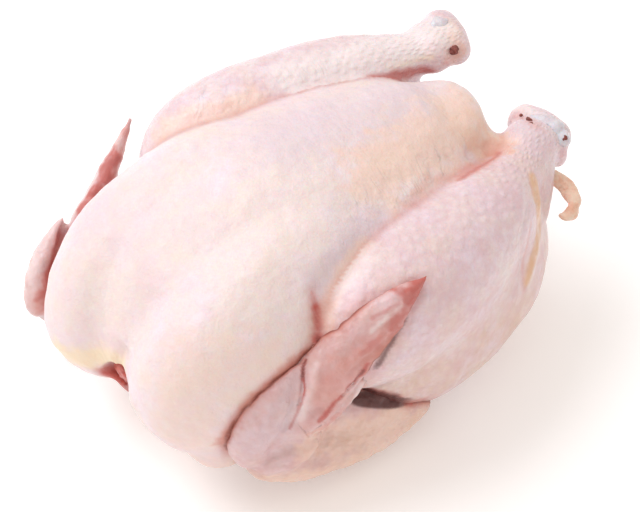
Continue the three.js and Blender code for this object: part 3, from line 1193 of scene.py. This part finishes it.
def left_wing_marks() -> Marks:
    """Return the furrows, colours and wrinkles of the left wing."""
    return Marks(
        grooves=(
            Groove(((-72, 28, 56), (-68, 20, 46), (-64, 12, 38)), 1.5, 2.0),
            Groove(((-72, 44, 62), (-68, 28, 46), (-64, 14, 32)), 1.2, 1.2),
        ),
        stains_and_painted_light={
            "flesh": (
                StainAndPaintedLight(((-74, 54, 73), (-70, 41, 64), (-68, 30, 54)), 3.4, 0.8, 0.7),
                StainAndPaintedLight(((-70, 24, 50), (-62, 12, 41), (-58, 7, 32)), 4.0, 0.7, 0.7),
            ),
            "blush": (StainAndPaintedLight(((-63, 4, 20), (-66, 20, 36)), 9.0, 0.6, 0.5),),
            "ruddy": (
                StainAndPaintedLight(((-60, 6, 30), (-63, 20, 44), (-70, 46, 64), (-76, 62, 77)), 5.0, 0.7, 0.5),
                StainAndPaintedLight(((-58, 4, 30), (-60, 14, 42), (-64, 26, 52)), 5.0, 0.9, 0.5),
            ),
            "pale": (
                StainAndPaintedLight(FAR_HAND_EDGE, 4.0, 0.5, 0.7),
            ),
        },
        fringes=(Fringe(((-78, 66, 82), (-72, 44, 62), (-64, 14, 34)), 9.0, 0.6, along=True),),
    )


@dataclass
class WingSkin:
    """The skin of one wing.

    Attributes:
        wing: the wing under it.
        marks: the furrows, colours and wrinkles.
        pit_pitch: the distance between feather pits, in millimetres.
    """

    wing: Wing
    marks: Marks
    pit_pitch: float = 4.2

    def finish(self, piece: bpy.types.Object, body: BVHTree) -> None:
        """Shape and mark the wing.

        Args:
            piece: the plain wing.
            body: the shape of the body's skin, against which the wing lies.
        """
        keep_largest(piece)
        hide = Hide(piece)
        gap = hide.gaps_to([body])[:, 0]
        if self.wing.cuts:
            hide.inside = 1 - smoothstep(0.7, 1.6, hide.gaps_to([wall_of(self.wing.cuts[0])])[:, 0])
        push = unevenness(hide.points, WING_BUMPS)
        for groove in self.marks.grooves:
            push += groove.push(hide)
        hide.push(push)
        # Painted shade, with the skin's own red, where the wing lies against the body.
        hide.write("crease_tint_and_shade", np.exp(-((gap / 1.5) ** 2)))
        hide.write("wing", np.ones(len(hide.points)))
        hide.write("low", 1 - smoothstep(8.0, 40.0, hide.points[:, 2] + 5 * bumps(hide.points, 14, 5.5)))
        hide.stain_and_light(self.marks)
        hide.wrinkle(self.marks)
        hide.pit({0: (self.wing.forearm.line, 0.4)}, self.pit_pitch)


# ---- Finishes ----------------------------------------------------------------------------------------------


class Nodes:
    """A short way to write shader nodes into a tree."""

    def __init__(self, tree: bpy.types.NodeTree) -> None:
        """Keep the tree that the nodes go into."""
        self.tree = tree

    def add(self, kind: str, **settings: object) -> bpy.types.Node:
        """Add a node and set its properties.

        Args:
            kind: the node's type.
            settings: its properties by name.

        Returns:
            The node.
        """
        node = self.tree.nodes.new(kind)
        for name, value in settings.items():
            setattr(node, name, value)
        return node

    def join(self, source: bpy.types.NodeSocket, target: bpy.types.NodeSocket) -> None:
        """Link an output to an input."""
        self.tree.links.new(source, target)

    def put(self, socket: bpy.types.NodeSocket, value: object) -> None:
        """Link an output to a socket, or set the socket's value."""
        if isinstance(value, bpy.types.NodeSocket):
            self.join(value, socket)
        else:
            socket.default_value = value

    def math(self, operation: str, a: object, b: object = 0.0, c: object = 0.0) -> bpy.types.NodeSocket:
        """Return the result of a sum on numbers or outputs.

        Args:
            operation: the Math node's operation.
            a: the first number or output.
            b: the second.
            c: the third, which only some operations read.

        Returns:
            The result's output.
        """
        node = self.add("ShaderNodeMath", operation=operation)
        self.put(node.inputs[0], a)
        self.put(node.inputs[1], b)
        self.put(node.inputs[2], c)
        return node.outputs[0]

    def attribute(self, name: str, vector: bool = False) -> bpy.types.NodeSocket:
        """Return the output of a stored attribute, as a number or as a row of three."""
        node = self.add("ShaderNodeAttribute", attribute_name=name)
        return node.outputs["Vector" if vector else "Fac"]

    def blend(self, mask: object, base: object, over: object) -> bpy.types.NodeSocket:
        """Return base with over laid on it where mask is 1.

        Args:
            mask: the number or output that chooses.
            base: the colour or output under it.
            over: the colour or output on top.

        Returns:
            The blended colour's output.
        """
        node = self.add("ShaderNodeMix", data_type="RGBA")
        self.put(node.inputs[0], mask)
        self.put(node.inputs[6], base if isinstance(base, bpy.types.NodeSocket) else (*base, 1.0))
        self.put(node.inputs[7], over if isinstance(over, bpy.types.NodeSocket) else (*over, 1.0))
        return node.outputs[2]

    def ramp(self, value: object, low: float, high: float) -> bpy.types.NodeSocket:
        """Return value stretched so that low becomes 0 and high becomes 1, with a smooth step.

        Args:
            value: the number or output.
            low: what becomes 0.
            high: what becomes 1.

        Returns:
            The stretched value's output.
        """
        node = self.add("ShaderNodeMapRange", interpolation_type="SMOOTHSTEP")
        self.put(node.inputs[0], value)
        node.inputs[1].default_value = low
        node.inputs[2].default_value = high
        return node.outputs[0]

    def speckle(
        self, vector: object, scale: float, detail: float = 2.0, rough: float = 0.5
    ) -> bpy.types.NodeSocket:
        """Return noise from 0 to 1 over a vector.

        Args:
            vector: the coordinates.
            scale: how fine the noise is.
            detail: how many finer layers it has.
            rough: how strong those are.

        Returns:
            The noise's output.
        """
        node = self.add("ShaderNodeTexNoise")
        self.put(node.inputs["Vector"], vector)
        node.inputs["Scale"].default_value = scale
        node.inputs["Detail"].default_value = detail
        node.inputs["Roughness"].default_value = rough
        return node.outputs[0]


def effect_group(
    name: str, inputs: Sequence[tuple[str, str, object]], outputs: Sequence[tuple[str, str]]
) -> Nodes:
    """Start a shader node group with named inputs and outputs.

    Args:
        name: the group's name.
        inputs: for each input its name, its socket type and its default value.
        outputs: for each output its name and its socket type.

    Returns:
        The writer for the group's nodes. Its first two nodes are the group's input and output.
    """
    tree = bpy.data.node_groups.new(name, "ShaderNodeTree")
    for label, kind, value in inputs:
        socket = tree.interface.new_socket(label, in_out="INPUT", socket_type=kind)
        if value is not None:
            socket.default_value = value
    for label, kind in outputs:
        tree.interface.new_socket(label, in_out="OUTPUT", socket_type=kind)
    tree.nodes.new("NodeGroupInput")
    tree.nodes.new("NodeGroupOutput")
    return Nodes(tree)


def mottle_group() -> bpy.types.NodeTree:
    """Make the group that lays soft blotches of a second colour on a first.

    Returns:
        The group, with the output Color.
    """
    n = effect_group(
        "mottle",
        [
            ("Color", "NodeSocketColor", (0.8, 0.8, 0.8, 1.0)),
            ("Blotch", "NodeSocketColor", (0.8, 0.6, 0.6, 1.0)),
            ("Amount", "NodeSocketFloat", 0.5),
            ("Scale", "NodeSocketFloat", 60.0),
            ("Seed", "NodeSocketFloat", 0.0),
        ],
        [("Color", "NodeSocketColor")],
    )
    source, sink = n.tree.nodes[0], n.tree.nodes[1]
    broad = n.speckle(n.add("ShaderNodeTexCoord").outputs["Object"], 60.0, 6.0, 0.68)
    broad.node.noise_dimensions = "4D"
    n.join(source.outputs["Scale"], broad.node.inputs["Scale"])
    n.join(source.outputs["Seed"], broad.node.inputs["W"])
    mask = n.math("MULTIPLY", n.ramp(broad, 0.4, 0.66), source.outputs["Amount"])
    n.join(n.blend(mask, source.outputs["Color"], source.outputs["Blotch"]), sink.inputs["Color"])
    return n.tree


def grain_group() -> bpy.types.NodeTree:
    """Make the group that roughens a wet surface.

    Returns:
        The group, with the outputs Fine, for pores, and Coarse, for lumps, both from 0 to 1.
    """
    n = effect_group("grain", [], [("Fine", "NodeSocketFloat"), ("Coarse", "NodeSocketFloat")])
    where = n.add("ShaderNodeTexCoord").outputs["Object"]
    n.join(n.speckle(where, 900.0, 3.0, 0.6), n.tree.nodes[1].inputs["Fine"])
    n.join(n.speckle(where, 240.0, 2.0, 0.5), n.tree.nodes[1].inputs["Coarse"])
    return n.tree


def pit_group() -> bpy.types.NodeTree:
    """Make the group that draws feather pits as soft round domes, over stored coordinates.

    Returns:
        The group, with the output Value, 1 on a dome.
    """
    n = effect_group(
        "pits",
        [("Steps", "NodeSocketVector", None), ("Width", "NodeSocketFloat", 0.5)],
        [("Value", "NodeSocketFloat")],
    )
    source, sink = n.tree.nodes[0], n.tree.nodes[1]
    turned = n.add("ShaderNodeVectorRotate", rotation_type="Z_AXIS")
    n.join(source.outputs["Steps"], turned.inputs["Vector"])
    turned.inputs["Angle"].default_value = math.radians(38)
    cells = n.add("ShaderNodeTexVoronoi", voronoi_dimensions="2D")
    n.join(turned.outputs[0], cells.inputs["Vector"])
    cells.inputs["Scale"].default_value = 1.0
    cells.inputs["Randomness"].default_value = 0.5
    near = n.math("DIVIDE", cells.outputs["Distance"], source.outputs["Width"])
    n.join(n.math("SUBTRACT", 1.0, n.ramp(near, 0.0, 1.0)), sink.inputs["Value"])
    return n.tree


def crinkle_group() -> bpy.types.NodeTree:
    """Make the group that draws fine wrinkles over stored coordinates, in millimetres across and along them.

    Returns:
        The group, with the output Value, 1 on a crest.
    """
    n = effect_group(
        "crinkle",
        [
            ("Lay", "NodeSocketVector", None),
            ("Across", "NodeSocketFloat", 0.34),
            ("Along", "NodeSocketFloat", 0.06),
        ],
        [("Value", "NodeSocketFloat")],
    )
    source, sink = n.tree.nodes[0], n.tree.nodes[1]
    lay = n.add("ShaderNodeSeparateXYZ")
    n.join(source.outputs["Lay"], lay.inputs[0])
    where = n.add("ShaderNodeTexCoord").outputs["Object"]
    sway = n.math("MULTIPLY_ADD", n.speckle(where, 70.0, 1.0), 9.0, lay.outputs[0])
    stretch = n.add("ShaderNodeCombineXYZ")
    n.put(stretch.inputs[0], n.math("MULTIPLY", sway, source.outputs["Across"]))
    n.put(stretch.inputs[1], n.math("MULTIPLY", lay.outputs[1], source.outputs["Along"]))
    lines = n.speckle(stretch.outputs[0], 1.0, 2.0, 0.55)
    patch = n.math("MULTIPLY", n.ramp(n.speckle(where, 130.0, 2.0), 0.36, 0.6), lay.outputs[2])
    n.join(n.math("MULTIPLY", n.ramp(lines, 0.3, 0.7), patch), sink.inputs["Value"])
    return n.tree


@dataclass(frozen=True)
class Effects:
    """The shared effects.

    Attributes:
        mottle: soft blotches.
        grain: a fine and a coarse roughness.
        pits: feather pits.
        crinkle: fine wrinkles.
    """

    mottle: bpy.types.NodeTree
    grain: bpy.types.NodeTree
    pits: bpy.types.NodeTree
    crinkle: bpy.types.NodeTree


@dataclass(frozen=True)
class Wet:
    """What every wet finish of the bird shares.

    Attributes:
        rough: the roughness under the film of water.
        film: the weight of the film.
        film_rough: the roughness of the film.
        depth: how far light travels inside, in metres.
        inside: how much of the light does.
    """

    rough: float = 0.5
    film: float = 0.3
    film_rough: float = 0.22
    depth: float = 0.002
    inside: float = 0.25

    def shader(self, n: Nodes) -> bpy.types.Node:
        """Put a Principled shader and the output into a tree.

        Args:
            n: the writer of the material's tree.

        Returns:
            The shader's node.
        """
        shader = n.add("ShaderNodeBsdfPrincipled")
        shader.inputs["Roughness"].default_value = self.rough
        shader.inputs["Coat Weight"].default_value = self.film
        shader.inputs["Coat Roughness"].default_value = self.film_rough
        shader.inputs["Subsurface Weight"].default_value = self.inside
        shader.inputs["Subsurface Radius"].default_value = (1.0, 0.45, 0.3)
        shader.inputs["Subsurface Scale"].default_value = self.depth
        shader.inputs["IOR"].default_value = 1.4
        n.join(shader.outputs[0], n.add("ShaderNodeOutputMaterial").inputs[0])
        return shader

    def relief(self, n: Nodes, shader: bpy.types.Node, height: object, strength: float, depth: float) -> None:
        """Give a shader a bumpy surface.

        Args:
            n: the writer of the material's tree.
            shader: the shader.
            height: the height's output.
            strength: how strong the bumps are.
            depth: how high they are, in metres.
        """
        bump = n.add("ShaderNodeBump")
        bump.inputs["Strength"].default_value = strength
        bump.inputs["Distance"].default_value = depth
        n.join(height, bump.inputs["Height"])
        n.join(bump.outputs[0], shader.inputs["Normal"])


def new_material(name: str) -> tuple[bpy.types.Material, Nodes]:
    """Start an empty material.

    Args:
        name: its name.

    Returns:
        The material and the writer of its nodes.
    """
    material = bpy.data.materials.new(name)
    material.use_nodes = True
    material.node_tree.nodes.clear()
    return material, Nodes(material.node_tree)


@dataclass(frozen=True)
class SkinFinish:
    """Raw chicken skin: cream over the breast, cooler pink over the legs, red where flesh shows.

    Attributes:
        cream: the breast's colour.
        rosy: the blotches on the breast.
        honey: its yellower blotches.
        lilac: its bluish blotches.
        cool: the duller skin over the keel.
        mauve: the legs' colour.
        mauve_rosy: the blotches on the legs.
        pit: the pale raised feather pits.
        wing: the wings' colour.
        tan: thin skin over fat.
        low: the tan of the undersides, which on the trunk and the legs is darker than the skin above them and
            partly painted shade.
        ruddy: thin skin over red flesh.
        sinew: the tendon under the skin.
        fat: where yellow fat shines through.
        pale: bloodless edges, and also painted light on the far leg and painted highlights on the right thigh
            and the right hand.
        flesh: bare flesh.
        shade_and_spots: painted shade, near black, deep in folds, cuts and openings, and a few small spots.
        fold: the red laid in the folds where parts meet, partly the skin's own red and partly painted shade.
        wet: how wet it is.
    """

    cream: Colour = (0.80, 0.69, 0.66)
    rosy: Colour = (0.80, 0.60, 0.63)
    honey: Colour = (0.79, 0.68, 0.55)
    lilac: Colour = (0.80, 0.69, 0.78)
    cool: Colour = (0.70, 0.57, 0.62)
    mauve: Colour = (0.72, 0.555, 0.60)
    mauve_rosy: Colour = (0.70, 0.46, 0.48)
    pit: Colour = (0.86, 0.74, 0.75)
    wing: Colour = (0.60, 0.345, 0.33)
    tan: Colour = (0.86, 0.61, 0.48)
    low: Colour = (0.65, 0.42, 0.31)
    ruddy: Colour = (0.64, 0.24, 0.19)
    sinew: Colour = (0.72, 0.44, 0.28)
    fat: Colour = (0.86, 0.70, 0.47)
    pale: Colour = (0.86, 0.76, 0.76)
    flesh: Colour = (0.48, 0.085, 0.065)
    shade_and_spots: Colour = (0.09, 0.015, 0.012)
    fold: Colour = (0.50, 0.13, 0.08)
    wet: Wet = Wet()

    def make(self, effects: Effects) -> bpy.types.Material:
        """Build the skin's material.

        Args:
            effects: the shared effects.

        Returns:
            The material.
        """
        material, n = new_material("raw_skin")
        shader = self.wet.shader(n)
        leg, wing, low = n.attribute("leg"), n.attribute("wing"), n.attribute("low")
        limb = n.math("MAXIMUM", leg, wing)

        base = n.blend(leg, self.cream, self.mauve)
        base = n.blend(wing, base, self.wing)
        # Tan towards the floor; on the trunk and legs it darkens them, partly as painted shade.
        base = n.blend(n.math("MULTIPLY", low, n.math("MULTIPLY_ADD", limb, 0.45, 0.45)), base, self.low)
        blotch = n.blend(limb, self.rosy, self.mauve_rosy)
        tones = (
            (blotch, 0.65, 34.0),
            (self.lilac, 0.65, 52.0),
            (self.honey, 0.4, 75.0),
            (blotch, 0.45, 330.0),
        )
        colour = base
        for over, amount, scale in tones:
            tone = n.add("ShaderNodeGroup", node_tree=effects.mottle)
            n.put(tone.inputs["Color"], colour)
            n.put(tone.inputs["Blotch"], over if isinstance(over, bpy.types.NodeSocket) else (*over, 1.0))
            n.put(tone.inputs["Amount"], n.math("MULTIPLY_ADD", wing, amount * -0.5, amount))
            tone.inputs["Scale"].default_value = scale
            tone.inputs["Seed"].default_value = scale * 0.37
            colour = tone.outputs[0]
        grain = n.add("ShaderNodeGroup", node_tree=effects.grain)

        under = (
            ("blush", 0.8, self.cool),
            ("tan", 0.8, self.tan),
            ("fat", 0.8, self.fat),
            ("ruddy", 0.7, self.ruddy),
        )
        for mask, share, over in under:
            colour = n.blend(n.math("MULTIPLY", n.attribute(mask), share), colour, over)
        colour = n.blend(n.attribute("sinew"), colour, self.sinew)

        place = n.attribute("pits", vector=True)
        strength = n.add("ShaderNodeSeparateXYZ")
        n.join(place, strength.inputs[0])
        pits = n.add("ShaderNodeGroup", node_tree=effects.pits)
        n.join(place, pits.inputs["Steps"])
        pits.inputs["Width"].default_value = 0.52
        dots = n.math("MULTIPLY", pits.outputs[0], strength.outputs[2])
        colour = n.blend(n.math("MULTIPLY", dots, 0.2), colour, self.pit)

        wrinkles = n.add("ShaderNodeGroup", node_tree=effects.crinkle)
        n.join(n.attribute("folds", vector=True), wrinkles.inputs["Lay"])
        crinkle = wrinkles.outputs[0]
        colour = n.blend(n.math("MULTIPLY", crinkle, 0.15), colour, self.pale)

        # Red in the folds, partly the skin's own and partly painted shade, and near-black painted shade at
        # the bottom of the deepest folds.
        crease_tint_and_shade = n.attribute("crease_tint_and_shade")
        colour = n.blend(n.math("MULTIPLY", crease_tint_and_shade, 0.85), colour, self.fold)
        colour = n.blend(n.math("MULTIPLY", n.ramp(crease_tint_and_shade, 0.72, 1.0), 0.45), colour, self.shade_and_spots)
        # Pale bloodless edges, and painted light and painted highlights on the legs and the right hand.
        colour = n.blend(n.math("MULTIPLY", n.attribute("pale"), 0.85), colour, self.pale)
        colour = n.blend(n.attribute("flesh"), colour, self.flesh)
        # Painted shade in the gaps, slits, neck notch and body cavity, and a few small spots by the hand's
        # slit.
        colour = n.blend(n.attribute("shade_and_spots"), colour, self.shade_and_spots)
        n.join(colour, shader.inputs["Base Color"])
        n.join(n.math("MULTIPLY_ADD", limb, 0.25, 0.15), shader.inputs["Coat Weight"])

        height = n.math("MULTIPLY", grain.outputs["Fine"], 0.3)
        for effect, share in ((grain.outputs["Coarse"], 0.7), (dots, 0.35), (crinkle, 0.5)):
            height = n.math("ADD", height, n.math("MULTIPLY", effect, share))
        self.wet.relief(n, shader, height, 1.0, 0.0008)
        return material


@dataclass(frozen=True)
class PlainFinish:
    """A wet, mottled finish for the small parts that the skin leaves bare.

    Attributes:
        name: the material's name.
        colour: the main colour.
        blotch: the blotches' colour.
        scale: how fine the blotches are.
        wet: how wet it is.
        bump: how rough the surface is, in metres.
    """

    name: str
    colour: Colour
    blotch: Colour
    scale: float = 160.0
    wet: Wet = Wet(film=0.5, film_rough=0.15)
    bump: float = 0.0006

    def make(self, effects: Effects) -> bpy.types.Material:
        """Build the material.

        Args:
            effects: the shared effects.

        Returns:
            The material.
        """
        material, n = new_material(self.name)
        shader = self.wet.shader(n)
        tone = n.add("ShaderNodeGroup", node_tree=effects.mottle)
        n.put(tone.inputs["Color"], (*self.colour, 1.0))
        n.put(tone.inputs["Blotch"], (*self.blotch, 1.0))
        tone.inputs["Amount"].default_value = 0.9
        tone.inputs["Scale"].default_value = self.scale
        n.join(tone.outputs["Color"], shader.inputs["Base Color"])
        grain = n.add("ShaderNodeGroup", node_tree=effects.grain)
        self.wet.relief(n, shader, grain.outputs["Fine"], 0.8, self.bump)
        return material


# ---- Small bare parts --------------------------------------------------------------------------------------


@dataclass(frozen=True)
class Trim:
    """One small part that the skin leaves bare.

    Attributes:
        name: the piece's name.
        slot: the record's material slot that it belongs to, which is not used.
        muscles: its shape.
        finish: its finish.
        voxel: the size of its faces, in millimetres.
        rounds: how often it is smoothed.
        uneven: how lumpy it is, in millimetres.
        lump: the width of its lumps, in millimetres.
    """

    name: str
    slot: str
    muscles: tuple[Muscle, ...]
    finish: PlainFinish
    voxel: float = 0.5
    rounds: int = 4
    uneven: float = 0.4
    lump: float = 3.0

    def build(self) -> bpy.types.Object:
        """Return the part, lumpy and whole."""
        piece = melt(self.name, self.muscles, self.voxel, self.rounds)
        hide = Hide(piece)
        small = self.lump / 2
        hide.push(unevenness(hide.points, ((self.uneven, self.lump, 8.8), (self.uneven / 2, small, 2.8))))
        return piece


GRISTLE = Wet(rough=0.4, film=0.4, film_rough=0.2, depth=0.003, inside=0.35)
CARTILAGE = PlainFinish("cartilage", (0.70, 0.68, 0.73), (0.62, 0.52, 0.56), 150.0, GRISTLE)
FLESH = PlainFinish("bare_flesh", (0.60, 0.13, 0.10), (0.40, 0.06, 0.05), 170.0)
MARROW = PlainFinish("marrow", (0.26, 0.07, 0.055), (0.13, 0.03, 0.025), 500.0, Wet(0.6, 0.1))
FLAP = PlainFinish("cut_skin", (0.80, 0.60, 0.47), (0.74, 0.38, 0.26), 150.0)


def trims() -> tuple[Trim, ...]:
    """Return every small bare part."""
    return (
        Trim(
            "right_hock_cartilage",
            "cartilage",
            (
                Muscle(
                    ((20, 191.5, 82.6), (26, 193.4, 82), (31.5, 195, 80.4), (35.4, 195.4, 78)),
                    (2, 4, 5, 3.6),
                    (1.8, 3.4, 4.0, 3.2),
                ),
                ball((35, 195.8, 78.6), 3.9),
            ),
            CARTILAGE,
            uneven=0.8,
            lump=4.0,
        ),
        Trim(
            "left_hock_cartilage",
            "cartilage",
            (
                Muscle(
                    ((-40, 191.5, 92), (-34.5, 190.5, 93.4), (-29, 189.5, 92.5)),
                    (3.4, 5.4, 3.4),
                    (2.6, 4.3, 3),
                ),
            ),
            CARTILAGE,
            uneven=0.8,
            lump=4.0,
        ),
        Trim(
            "right_hock_marrow",
            "flesh",
            (
                Muscle(((17.4, 189.2, 82.6), (18.8, 189, 83.4)), (0.7, 0.6), (0.7, 0.6)),
                Muscle(
                    ((22.6, 188, 84.6), (24.8, 187.2, 85.8), (26, 187.4, 86)),
                    (1.0, 1.3, 0.8),
                    (0.9, 1.0, 0.8),
                ),
                Muscle(((26.4, 186, 86.2), (28.2, 185.6, 86.8)), (0.9, 0.7), (0.8, 0.6)),
                Muscle(((36.8, 195, 81.6), (38, 195.6, 80)), (1.7, 1.3), (1.5, 1.2)),
            ),
            MARROW,
            voxel=0.3,
            rounds=2,
            uneven=0.5,
            lump=1.2,
        ),
        Trim(
            "left_hock_flesh",
            "flesh",
            (
                Muscle(
                    ((-21.5, 188.5, 93.4), (-20.4, 186.6, 92.4), (-20.6, 184.6, 91.4)),
                    (1.2, 1.8, 1.0),
                    (1.0, 1.6, 1.0),
                ),
            ),
            MARROW,
            voxel=0.3,
            rounds=2,
            uneven=0.5,
            lump=1.2,
        ),
        Trim(
            "neck_flesh",
            "flesh",
            (Muscle(((1, 1.5, 43.5), (1, 8, 45), (1, 14, 46)), (8, 8, 7), (4.6, 5.4, 5)),),
            FLESH,
            uneven=0.7,
        ),
        Trim(
            "hock_flap",
            "fat",
            (
                Muscle(
                    ((41, 183, 71.5), (45.5, 187, 67.5), (51, 186.5, 66), (56, 184, 66), (58.5, 180, 66.5)),
                    (4, 3.6, 3.4, 3.2, 2.2),
                    (3.0, 1.8, 1.7, 1.9, 2.0),
                    (0.45, -0.3, 0.8),
                ),
                Muscle(
                    ((56, 185, 65), (58.5, 181, 64.5), (59, 177, 65), (57.5, 174, 66)),
                    (2.0, 2.6, 2.4, 1.4),
                    (1.6, 2.4, 2.2, 1.4),
                ),
            ),
            FLAP,
            uneven=0.5,
        ),
    )


# ---- The studio --------------------------------------------------------------------------------------------


@dataclass(frozen=True)
class Studio:
    """A pale floor, soft lights and the camera.

    Attributes:
        azimuth: where the camera stands, in degrees from straight before the neck towards the bird's right.
        elevation: how high it stands, in degrees.
        distance: how far it stands from its target, in millimetres.
        target: the point of the bird that it looks at, in millimetres.
        lens: its focal length, in millimetres.
        floor: the floor's brightness.
        glow: the light that the floor gives off.
        sky: the colour of the light from all around.
        sky_strength: how strong it is.
    """

    azimuth: float = 51.0
    elevation: float = 46.0
    distance: float = 900.0
    target: Point = (0.0, 100.0, 45.0)
    lens: float = 126.5625
    floor: float = 0.93
    glow: float = 0.19
    sky: Colour = (1.0, 0.95, 0.90)
    sky_strength: float = 0.8

    def camera(self) -> None:
        """Place the camera."""
        a, e = math.radians(self.azimuth), math.radians(self.elevation)
        back = Vector((math.sin(a) * math.cos(e), -math.cos(a) * math.cos(e), math.sin(e)))
        data = bpy.data.cameras.new("camera")
        data.lens = self.lens
        data.sensor_width = 36.0
        camera = bpy.data.objects.new("camera", data)
        camera.location = to_frame(Vector(self.target) + back * self.distance)
        camera.rotation_euler = back.to_track_quat("Z", "Y").to_euler()
        bpy.context.scene.collection.objects.link(camera)
        bpy.context.scene.camera = camera

    def ground(self) -> None:
        """Lay the floor."""
        mesh = bmesh.new()
        bmesh.ops.create_grid(mesh, x_segments=1, y_segments=1, size=3.0)
        floor = make_object("floor", mesh)
        material, n = new_material("floor")
        shader = n.add("ShaderNodeBsdfPrincipled")
        shader.inputs["Base Color"].default_value = (self.floor, self.floor, self.floor, 1.0)
        shader.inputs["Roughness"].default_value = 0.9
        shader.inputs["Emission Color"].default_value = (1.0, 0.98, 0.97, 1.0)
        shader.inputs["Emission Strength"].default_value = self.glow
        n.join(shader.outputs[0], n.add("ShaderNodeOutputMaterial").inputs[0])
        floor.data.materials.append(material)

    def light(self, name: str, place: Point, size: float, power: float, colour: Colour = (1, 1, 1)) -> None:
        """Hang a soft square lamp that faces the bird.

        Args:
            name: the lamp's name.
            place: where it hangs, in metres.
            size: the length of its side, in metres.
            power: its power, in watts.
            colour: its colour.
        """
        data = bpy.data.lights.new(name, "AREA")
        data.shape = "SQUARE"
        data.size = size
        data.energy = power
        data.color = colour
        lamp = bpy.data.objects.new(name, data)
        lamp.location = place
        lamp.rotation_euler = (Vector(place) - Vector((0, 0, 0.05))).to_track_quat("Z", "Y").to_euler()
        bpy.context.scene.collection.objects.link(lamp)

    def build(self) -> None:
        """Set up the floor, the sky, the lamps and the camera."""
        self.camera()
        self.ground()
        world = bpy.data.worlds.new("studio")
        world.use_nodes = True
        sky = world.node_tree.nodes["Background"]
        sky.inputs[0].default_value = (*self.sky, 1.0)
        sky.inputs[1].default_value = self.sky_strength
        bpy.context.scene.world = world
        bpy.context.scene.view_settings.view_transform = "Standard"
        self.light("key", (-0.88, -0.48, 1.57), 1.3, 17.5, (0.95, 0.98, 1.05))
        self.light("glint", (-0.35, -0.75, 1.3), 0.35, 1.6)


def show(piece: bpy.types.Object, material: bpy.types.Material) -> None:
    """Dress a piece and make it part of the bird.

    Args:
        piece: the finished piece.
        material: its material.
    """
    piece.data.materials.clear()
    piece.data.materials.append(material)
    for polygon in piece.data.polygons:
        polygon.use_smooth = True
    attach(piece, "root")
    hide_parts("chicken")
    log.info("%s: %d points, %d faces", piece.name, len(piece.data.vertices), len(piece.data.polygons))


def main() -> None:
    """Build the bird and its studio, and report each piece."""
    logging.basicConfig(level=logging.INFO, format="%(name)s: %(message)s")
    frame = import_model()
    log.info("the frame has %d node", len(frame["nodes"]))
    Studio().build()

    effects = Effects(mottle_group(), grain_group(), pit_group(), crinkle_group())
    skin_finish = SkinFinish().make(effects)

    wings = (right_wing(), left_wing())
    wing_pieces = [wing.build() for wing in wings]
    skin = Body().build([tree_of(piece) for piece in wing_pieces])
    show(skin, skin_finish)
    skin_tree = tree_of(skin)
    for wing, piece, marks in zip(wings, wing_pieces, (right_wing_marks(), left_wing_marks())):
        WingSkin(wing, marks).finish(piece, skin_tree)
        show(piece, skin_finish)
    for trim in trims():
        show(trim.build(), trim.finish.make(effects))


if __name__ == "__main__":
    main()
